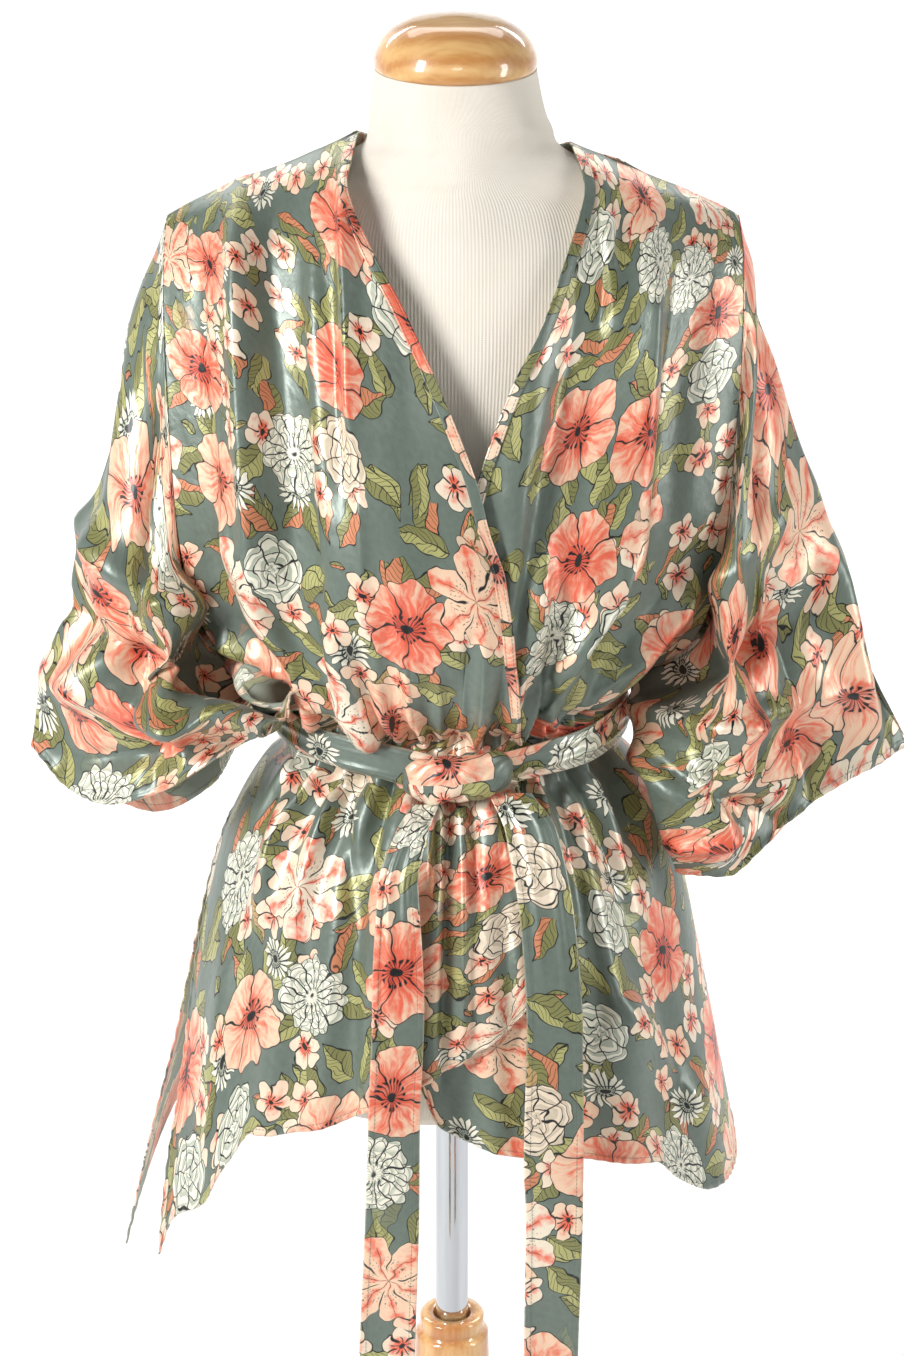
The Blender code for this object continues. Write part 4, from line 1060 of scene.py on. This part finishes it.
def chrome_material():
    """Polished steel tube with faint rubbing along it."""
    mat, d, shader = new_material("chrome_tube")
    place = d.vector("MULTIPLY", d.add("TexCoord", {}, 3), (60, 60, 4))
    smear = d.add("TexNoise", {"Vector": place, "Scale": 2.0, "Detail": 3.0})
    colour = d.mix(smear, linear(196, 199, 203), linear(218, 220, 223))
    rough = d.affine(smear, 0.09, 0.03)
    finish(d, shader, colour, rough, smear, 0.00002, Metallic=1.0)
    return mat


def hem_distance(u, v, bottom=True, left=None, right=None):
    """Run along and distance to the nearest hem. Left and right say which levels have a hemmed side edge."""
    far = np.full(u.shape, 1.0)
    run = u.copy()
    if bottom:
        far = v[-1:] - v
    for side, mask in ((u - u[:, :1], left), (u[:, -1:] - u, right)):
        if mask is not None:
            gap = np.where(mask, side, 1.0)
            run = np.where(gap < far, v, run)
            far = np.minimum(far, gap)
    return run, far


def hem_bulge(far, run):
    """Thickness of the cloth, doubled in the turned hem, and how its edge puckers."""
    turned = 1 - ease(HEM_WIDTH - 0.0014, HEM_WIDTH, far)
    pucker = PUCKER_HEIGHT * turned * np.sin(run * 2 * math.pi / PUCKER_RUN + 2 * np.sin(run * 37))
    return CLOTH + HEM_EXTRA * turned, pucker


def cloth_piece(name, node, grid, mats, place, nominal, hems, wrap=False, centre=(0.0, 0.0)):
    """A cloth shell on a grid, with its print places, hems, body and flat size."""
    u, v = lengths(grid, wrap)
    run, far = hem_distance(u, v, **hems)
    inside = slice(0, grid.shape[1])
    thick, pucker = hem_bulge(far[:, inside], run[:, inside])
    out = outward(grid, wrap, centre)
    inner = grid + out * pucker[..., None]
    row = u[:, -1:]
    spot = (u / row * (0.5 * row + 0.5 * nominal) + place[0], -v + place[1])
    obj = shell(name, inner, inner + out * thick[..., None], mats, spot, (run, far), wrap)
    settle(obj, node)


def settle(obj, node, body="form"):
    """Puts a piece on its body in place of its CAD node."""
    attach(obj, body)
    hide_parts(node)


def along_rows(grid, reach):
    """Points of each row at a run from its first column."""
    step = np.linalg.norm(np.diff(grid, axis=1), axis=2)
    run = np.concatenate([np.zeros((len(grid), 1)), np.cumsum(step, 1)], 1)
    return np.array([[np.interp(reach, at, row[:, k]) for k in range(3)] for at, row in zip(run, grid)])


def neck_band(fronts, behind, mats):
    """The neck band, sewn over the fronts' edges and the back's neckline."""
    reach = np.linspace(0, BAND_WIDTH, 9)
    crown = BAND_LIFT + 0.0003 * np.sin(math.pi * np.clip(reach / BAND_WIDTH, 0.05, 0.95)) ** 0.5
    strips = []
    for grid in fronts:
        cut = grid[:ROWS_ABOVE - 2, :30]
        out = outward(grid)[:ROWS_ABOVE - 2, :1].copy()
        blend_up = ease(0, 8, np.arange(len(cut)))[:, None, None]
        out = out * blend_up + np.array([0, 0, 1.0]) * (1 - blend_up)
        points = np.stack([along_rows(cut, r) for r in reach], 1)
        strips.append(points + out * crown[None, :, None])
    span = slice(SHOULDER_COLUMNS, SHOULDER_COLUMNS + NECK_COLUMNS - 2)
    neck = np.swapaxes(behind[:30, span], 0, 1)
    out = np.swapaxes(outward(behind)[:1, span], 0, 1)
    points = np.stack([along_rows(neck, r) for r in reach], 1)
    strips.insert(1, points + out * crown[None, :, None])
    strips[0] = strips[0][::-1]
    grid = np.concatenate(strips)
    for _ in range(3):
        grid[1:-1] = grid[1:-1] * 0.5 + (grid[:-2] + grid[2:]) * 0.25
    u, v = lengths(grid)
    out = -normals(grid)
    if (out[:20, 4, 1]).mean() > 0:
        out = -out
    spot = (u + 0.21, v + 0.13)
    edge = (v, np.minimum(u, u[:, -1:] - u) + 0.0031)
    obj = shell("neck_band_cloth", grid - out * 0.0002, grid + out * 0.0006, mats, spot, edge)
    settle(obj, "neck_band")


def belt_wrap(mats):
    """The belt round the waist, soft and creased along its length."""
    turn, ring, out = belt_ring(400)
    across = np.linspace(-1, 1, 20)[:, None]
    reach = 0.0034 + OVERLAP_LIFT * ease(-0.75, -0.30, turn) * ease(0.75, 0.35, turn) + 0.0015
    run = np.concatenate([[0], np.cumsum(np.linalg.norm(np.diff(ring, axis=0), axis=1))])
    fold = np.zeros((20, 400))
    for place, deep, sway, wave, at in BELT_CREASES:
        middle = place + sway * np.sin(run * wave + at)
        swell = 0.7 + 0.3 * np.sin(run * 31 + at)
        fold = fold + deep * np.exp(-((across - middle) / 0.20) ** 2) * swell
    lift = reach + 0.0012 * (1 - across ** 2) + fold
    grid = ring[None] + out[None] * lift[..., None]
    sag = 0.0012 * np.sin(run * 27) + 0.0009 * np.sin(run * 63 + 1)
    dip = -0.004 * np.exp(-(turn / 0.30) ** 2)
    grid[..., 2] += across * (BELT_HALF_HEIGHT + 0.0008 * np.sin(run * 44)) + sag + dip
    u, v = lengths(grid, True)
    edge = (u, np.minimum(v, v[-1:] - v))
    spot = (u + 0.4, v + 0.9)
    obj = shell("belt_wrap_cloth", grid, grid + out[None] * 0.0011, mats, spot, edge, True)
    settle(obj, "belt_wrap")
    return ring[np.argmin(np.abs(turn))][1]


def belt_knot(front, mats):
    """The half knot: a roll of twisted cloth across the front of the belt."""
    share = np.linspace(-1, 1, 96)[:, None]
    angle = (np.arange(60) / 60 * 2 * math.pi)[None, :]
    thick = KNOT_HALF * np.sqrt(np.maximum(1 - (share * 0.965) ** 4, 0.004))
    spin = angle - 2.6 * share
    ridge = 0.92 + 0.20 * np.abs(np.cos(1.5 * spin)) ** 0.6 + 0.05 * np.sin(5 * spin + 2)
    middle = front - KNOT_AHEAD
    y = middle + 0.010 * share ** 2 - 0.0105 * thick / KNOT_HALF * ridge * np.cos(angle)
    z = KNOT_LEVEL + 0.004 * share + thick * ridge * np.sin(angle)
    grid = np.stack([KNOT_X + KNOT_HALF_LENGTH * share + 0 * angle, y, z], -1)
    u, v = lengths(grid, True)
    inner = grid - outward(grid, True, (0, middle)) * 0.0012
    obj = shell("belt_knot_cloth", inner, grid, mats, (u + 0.1, v + 0.5), (u, v * 0 + 1.0), True)
    settle(obj, "belt_knot")


def belt_tail(name, node, tail, folds, mats, place):
    """One hanging tail of the belt: gathered into the knot, smooth and hemmed lower down."""
    height = np.linspace(tail["z"][0], tail["z"][-1], 200)[:, None]
    across = np.linspace(-1, 1, 28)[None, :]
    width = smooth(tail, "z", "width", height)
    x = smooth(tail, "z", "x", height) + across * width / 2
    low = tail["z"][0] - height
    cup = 0.003 * np.exp(-((height - 0.80) / 0.12) ** 2) * across ** 2
    y = smooth(tail, "z", "y", height) + cup
    for at, drift, deep, reach in folds:
        fade = ease(0, 0.01, low) * (1 - ease(0.4, 1, low / reach))
        y = y - deep * np.exp(-((across - at - drift * low) / 0.16) ** 2) * fade
    y = y + 0.0016 * np.sin(height * 26 + across * 1.2) * ease(0.05, 0.2, low)
    grid = np.stack([x, y, height + 0 * x], -1)
    u, v = lengths(grid)
    run, far = hem_distance(u, v, True, np.full(u.shape, True), np.full(u.shape, True))
    thick, pucker = hem_bulge(far, run)
    out = np.array([0, -1, 0])
    inner = grid + out * pucker[..., None] * 0.5
    outer = inner + out * (thick + 0.0003)[..., None]
    obj = shell(name, inner, outer, mats, (u + place[0], -v + place[1]), (run, far))
    settle(obj, node)


def loft(name, rings, mat, uv=None):
    """A closed solid through rings of equal length, its ends filled."""
    rings = np.asarray(rings)
    rows, count = rings.shape[:2]
    r, c = np.meshgrid(np.arange(rows - 1), np.arange(count), indexing="ij")
    d = (c + 1) % count
    sides = np.stack([r * count + c, r * count + d, (r + 1) * count + d, (r + 1) * count + c], -1)
    ends = [list(range(count))[::-1], [(rows - 1) * count + k for k in range(count)]]
    faces = sides.reshape(-1, 4).tolist() + ends
    mesh = bpy.data.meshes.new(name)
    mesh.from_pydata(rings.reshape(-1, 3).tolist(), [], faces)
    mesh.materials.append(mat)
    mesh.polygons.foreach_set("use_smooth", np.array([len(f) == 4 for f in faces]))
    if uv is not None:
        wide = count + 1
        k = [r * wide + c, r * wide + c + 1, (r + 1) * wide + c + 1, (r + 1) * wide + c]
        flat = np.stack(np.broadcast_arrays(*uv), -1).reshape(-1, 2)[np.stack(k, -1).reshape(-1)]
        flat = np.concatenate([flat.reshape(-1), np.zeros(4 * count)])
        mesh.uv_layers.new(name="Cloth").data.foreach_set("uv", flat)
    return link(name, mesh)


def fine_profile(profile, count):
    """A turned profile with rounded steps between its rows, from named radius and height columns."""
    run = np.concatenate([[0], np.cumsum(np.hypot(np.diff(profile["radius"]), np.diff(profile["z"])))])
    table = {"run": run, "radius": profile["radius"], "z": profile["z"]}
    at = np.linspace(0, run[-1], count)
    return smooth(table, "run", "radius", at), smooth(table, "run", "z", at)


def circle(radius, z, count=96):
    """A ring of points round the Z axis."""
    angle = np.arange(count) / count * 2 * math.pi
    return np.stack([radius * np.cos(angle), radius * np.sin(angle), np.full(count, z)], -1)


def torso(mat):
    """The padded torso and neck under its jersey, with the socket for the pole."""
    count = 120
    angle = np.arange(count) / count * 2 * math.pi
    spans = ((NECK_PLANE, 1.33, 80), (1.329, 0.72, 96), (0.718, 0.683, 24))
    heights = np.concatenate([np.linspace(*span) for span in spans])
    rings = []
    for z in heights:
        half, depth_front, depth_back, neck, middle = (
            smooth(TORSO, "z", column, z) for column in ("half", "front", "back", "neck", "x"))
        front = np.sin(angle) < 0
        depth = np.where(front, depth_front, depth_back)
        root = np.exp(-(half * np.cos(angle) / 0.055) ** 2) * np.where(front, 1, 0.7)
        y = (depth + neck * root) * np.sin(angle)
        tilt = math.tan(NECK_TILT) * ease(1.385, NECK_PLANE, z)
        rings.append(np.stack([middle + half * np.cos(angle), y, z + tilt * y], -1))
    low = TORSO["z"][-1]
    bore = POLE_RADIUS + SEAM
    rings += [circle(r, low, count) for r in (0.10, 0.05, bore + 0.002)]
    rings += [circle(bore, low + 0.0008, count), circle(bore, low + POLE_SOCKET, count)]
    rings = np.array(rings)
    v = lengths(rings, True)[1]
    u = np.arange(count + 1)[None, :] / count * TORSO_ROUND + 0 * v
    obj = loft("torso_jersey", rings, mat, (u, v))
    settle(obj, "torso")


def neck_cap(mat):
    """The turned and varnished neck cap, tilted with the neck."""
    radius, z = fine_profile(CAP_PROFILE, 56)
    crown = np.linspace(0.001, CAP_PROFILE["radius"][0], 14)[:-1]
    radius = np.concatenate([crown, radius])
    z = np.concatenate([CAP_PROFILE["z"][0] + 0.0012 * (1 - (crown / crown[-1]) ** 2), z])
    obj = loft("neck_cap_wood", [circle(r, h) for r, h in zip(radius, z)], mat)
    place = Matrix.Translation(Vector((CAP_X, 0, NECK_PLANE + SEAM)))
    obj.data.transform(place @ Matrix.Rotation(NECK_TILT, 4, "X"))
    settle(obj, "neck_cap")


def stand(chrome, wood):
    """The tube, the turned column with its bore and the round foot."""
    top = TORSO["z"][-1] + POLE_SOCKET - 0.001
    tube = loft("pole_tube", [circle(POLE_RADIUS, z) for z in np.linspace(top, POLE_LOW, 40)], chrome)
    settle(tube, "pole", "mast")
    radius, z = fine_profile(COLUMN_PROFILE, 180)
    tight = POLE_RADIUS + SEAM
    bore = ((tight, 0.045), (tight, COLLAR_TOP - 0.022), (0.0148, COLLAR_TOP - 0.018),
            (0.0148, COLLAR_TOP - 0.001), (0.0155, COLLAR_TOP))
    rings = [circle(r, h) for r, h in bore] + [circle(r, h) for r, h in zip(radius, z)]
    column = loft("stand_column_wood", rings, wood)
    settle(column, "stand_column", "stand")
    radius, z = fine_profile(BASE_PROFILE, 70)
    foot = loft("stand_foot_wood", [circle(r, h) for r, h in zip(radius, z)], wood)
    settle(foot, "stand_foot", "stand")


def plain(name, colour, roughness):
    """A plain matt material for the floor and backdrop."""
    mat, d, shader = new_material(name)
    grain = d.add("TexNoise", {"Scale": 3.0, "Detail": 2.0})
    d.tree.links.new(d.mix(grain, colour, tuple(c * 0.985 for c in colour)), shader.inputs["Base Color"])
    shader.inputs["Roughness"].default_value = roughness
    return mat


def backdrop():
    """A pale round floor that sweeps up into a wall all round."""
    bends = np.linspace(0.1, math.pi / 2, 14)
    radius = [0.02, 1.0, 2.5, 4.0, 5.0] + [5.0 + math.sin(a) for a in bends] + [6.0, 6.0, 6.0]
    height = [0.0] * 5 + [1.0 - math.cos(a) for a in bends] + [2.0, 3.2, 4.6]
    points = np.concatenate([circle(r, h - 0.0002) for r, h in zip(radius, height)])
    count = 96
    faces = [list(range(count))]
    for row in range(len(radius) - 1):
        for k in range(count):
            near, far = row * count, (row + 1) * count
            faces.append([near + k, far + k, far + (k + 1) % count, near + (k + 1) % count])
    mesh = bpy.data.meshes.new("floor")
    mesh.from_pydata(points.tolist(), [], faces)
    mesh.polygons.foreach_set("use_smooth", [True] * len(faces))
    mesh.materials.append(plain("floor_pale", (0.86, 0.86, 0.86), 0.9))
    obj = bpy.data.objects.new("floor", mesh)
    bpy.context.scene.collection.objects.link(obj)


def area_light(name, place, aim, size, power):
    """A soft box aimed at a point."""
    data = bpy.data.lights.new(name, "AREA")
    data.shape = "RECTANGLE"
    data.size, data.size_y = size
    data.energy = power
    obj = bpy.data.objects.new(name, data)
    bpy.context.scene.collection.objects.link(obj)
    obj.location = place
    obj.rotation_euler = (Vector(aim) - Vector(place)).to_track_quat("-Z", "Y").to_euler()


def studio():
    """White world, soft boxes and the camera."""
    scene = bpy.context.scene
    world = bpy.data.worlds.new("studio")
    world.use_nodes = True
    background = world.node_tree.nodes["Background"]
    background.inputs[0].default_value = (1, 1, 1, 1)
    background.inputs[1].default_value = WORLD_STRENGTH
    scene.world = world
    scene.view_settings.view_transform = "Standard"
    scene.view_settings.look = "None"
    for light in LIGHTS:
        area_light(*light)
    data = bpy.data.cameras.new("camera")
    data.lens, data.sensor_width, data.sensor_fit = CAMERA_LENS, 36.0, "AUTO"
    camera = bpy.data.objects.new("camera", data)
    scene.collection.objects.link(camera)
    camera.location = CAMERA_PLACE
    camera.rotation_euler = (CAMERA_TILT, 0, 0)
    scene.camera = camera


def main():
    """Builds every piece round the frame."""
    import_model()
    group = print_group()
    satin = [satin_material("satin_print", group, False),
             satin_material("satin_print_wrong_side", group, True)]
    right = front_grid(RIGHT_EDGE, RIGHT_HEM, -1)
    left = front_grid(LEFT_EDGE, LEFT_HEM, 1)
    behind = behind_grid()
    rows = ROWS_ABOVE + ROWS_BELT
    below = np.zeros(right.shape[:2], bool)
    below[rows:] = True
    slit = right[..., 2] < SLIT_LEVEL
    cloth_piece("front_right_cloth", "front_right", right, satin,
                (0.0, 0.0), 0.40,
                {"left": below, "right": slit & below})
    cloth_piece("front_left_cloth", "front_left", left, satin,
                (1.3, 0.2), 0.40, {"left": below})
    back_slit = np.zeros(behind.shape[:2], bool)
    back_slit[rows:] = True
    back_slit &= behind[..., 2] < SLIT_LEVEL
    cloth_piece("back_cloth", "back", behind, satin,
                (2.1, 0.4), 0.66, {"left": back_slit})
    sleeve_right = sleeve_grid(RIGHT_CUFF, -1, 0.0, 0.0, 0.020, SLEEVE_RIGHT_CREASES)
    sleeve_left = sleeve_grid(LEFT_CUFF, 1, -0.014, 0.042, -0.006, SLEEVE_LEFT_CREASES)
    cloth_piece("sleeve_right_cloth", "sleeve_right", sleeve_right, satin,
                (3.3, 0.1), 0.60, {}, True,
                (-SLEEVE_AXIS, 0.0))
    cloth_piece("sleeve_left_cloth", "sleeve_left", sleeve_left, satin,
                (4.4, 0.7), 0.60, {}, True,
                (SLEEVE_AXIS, 0.0))
    neck_band((right, left), behind, satin)
    front = belt_wrap(satin)
    belt_knot(front, satin)
    belt_tail("belt_tail_right_cloth", "belt_tail_right", RIGHT_TAIL,
              ((-0.45, 0.6, 0.0022, 0.16), (0.35, -0.5, 0.0018, 0.12)), satin, (0.6, 0.3))
    belt_tail("belt_tail_left_cloth", "belt_tail_left", LEFT_TAIL,
              ((-0.30, -0.4, 0.0022, 0.14), (0.40, 0.5, 0.0018, 0.18)), satin, (0.9, 0.1))
    torso(jersey_material())
    neck_cap(wood_material("cap_pine", False, (232, 188, 126), (200, 138, 76)))
    stand(chrome_material(), wood_material("stand_pine", True, (236, 190, 128), (196, 128, 70)))
    backdrop()
    studio()


main()
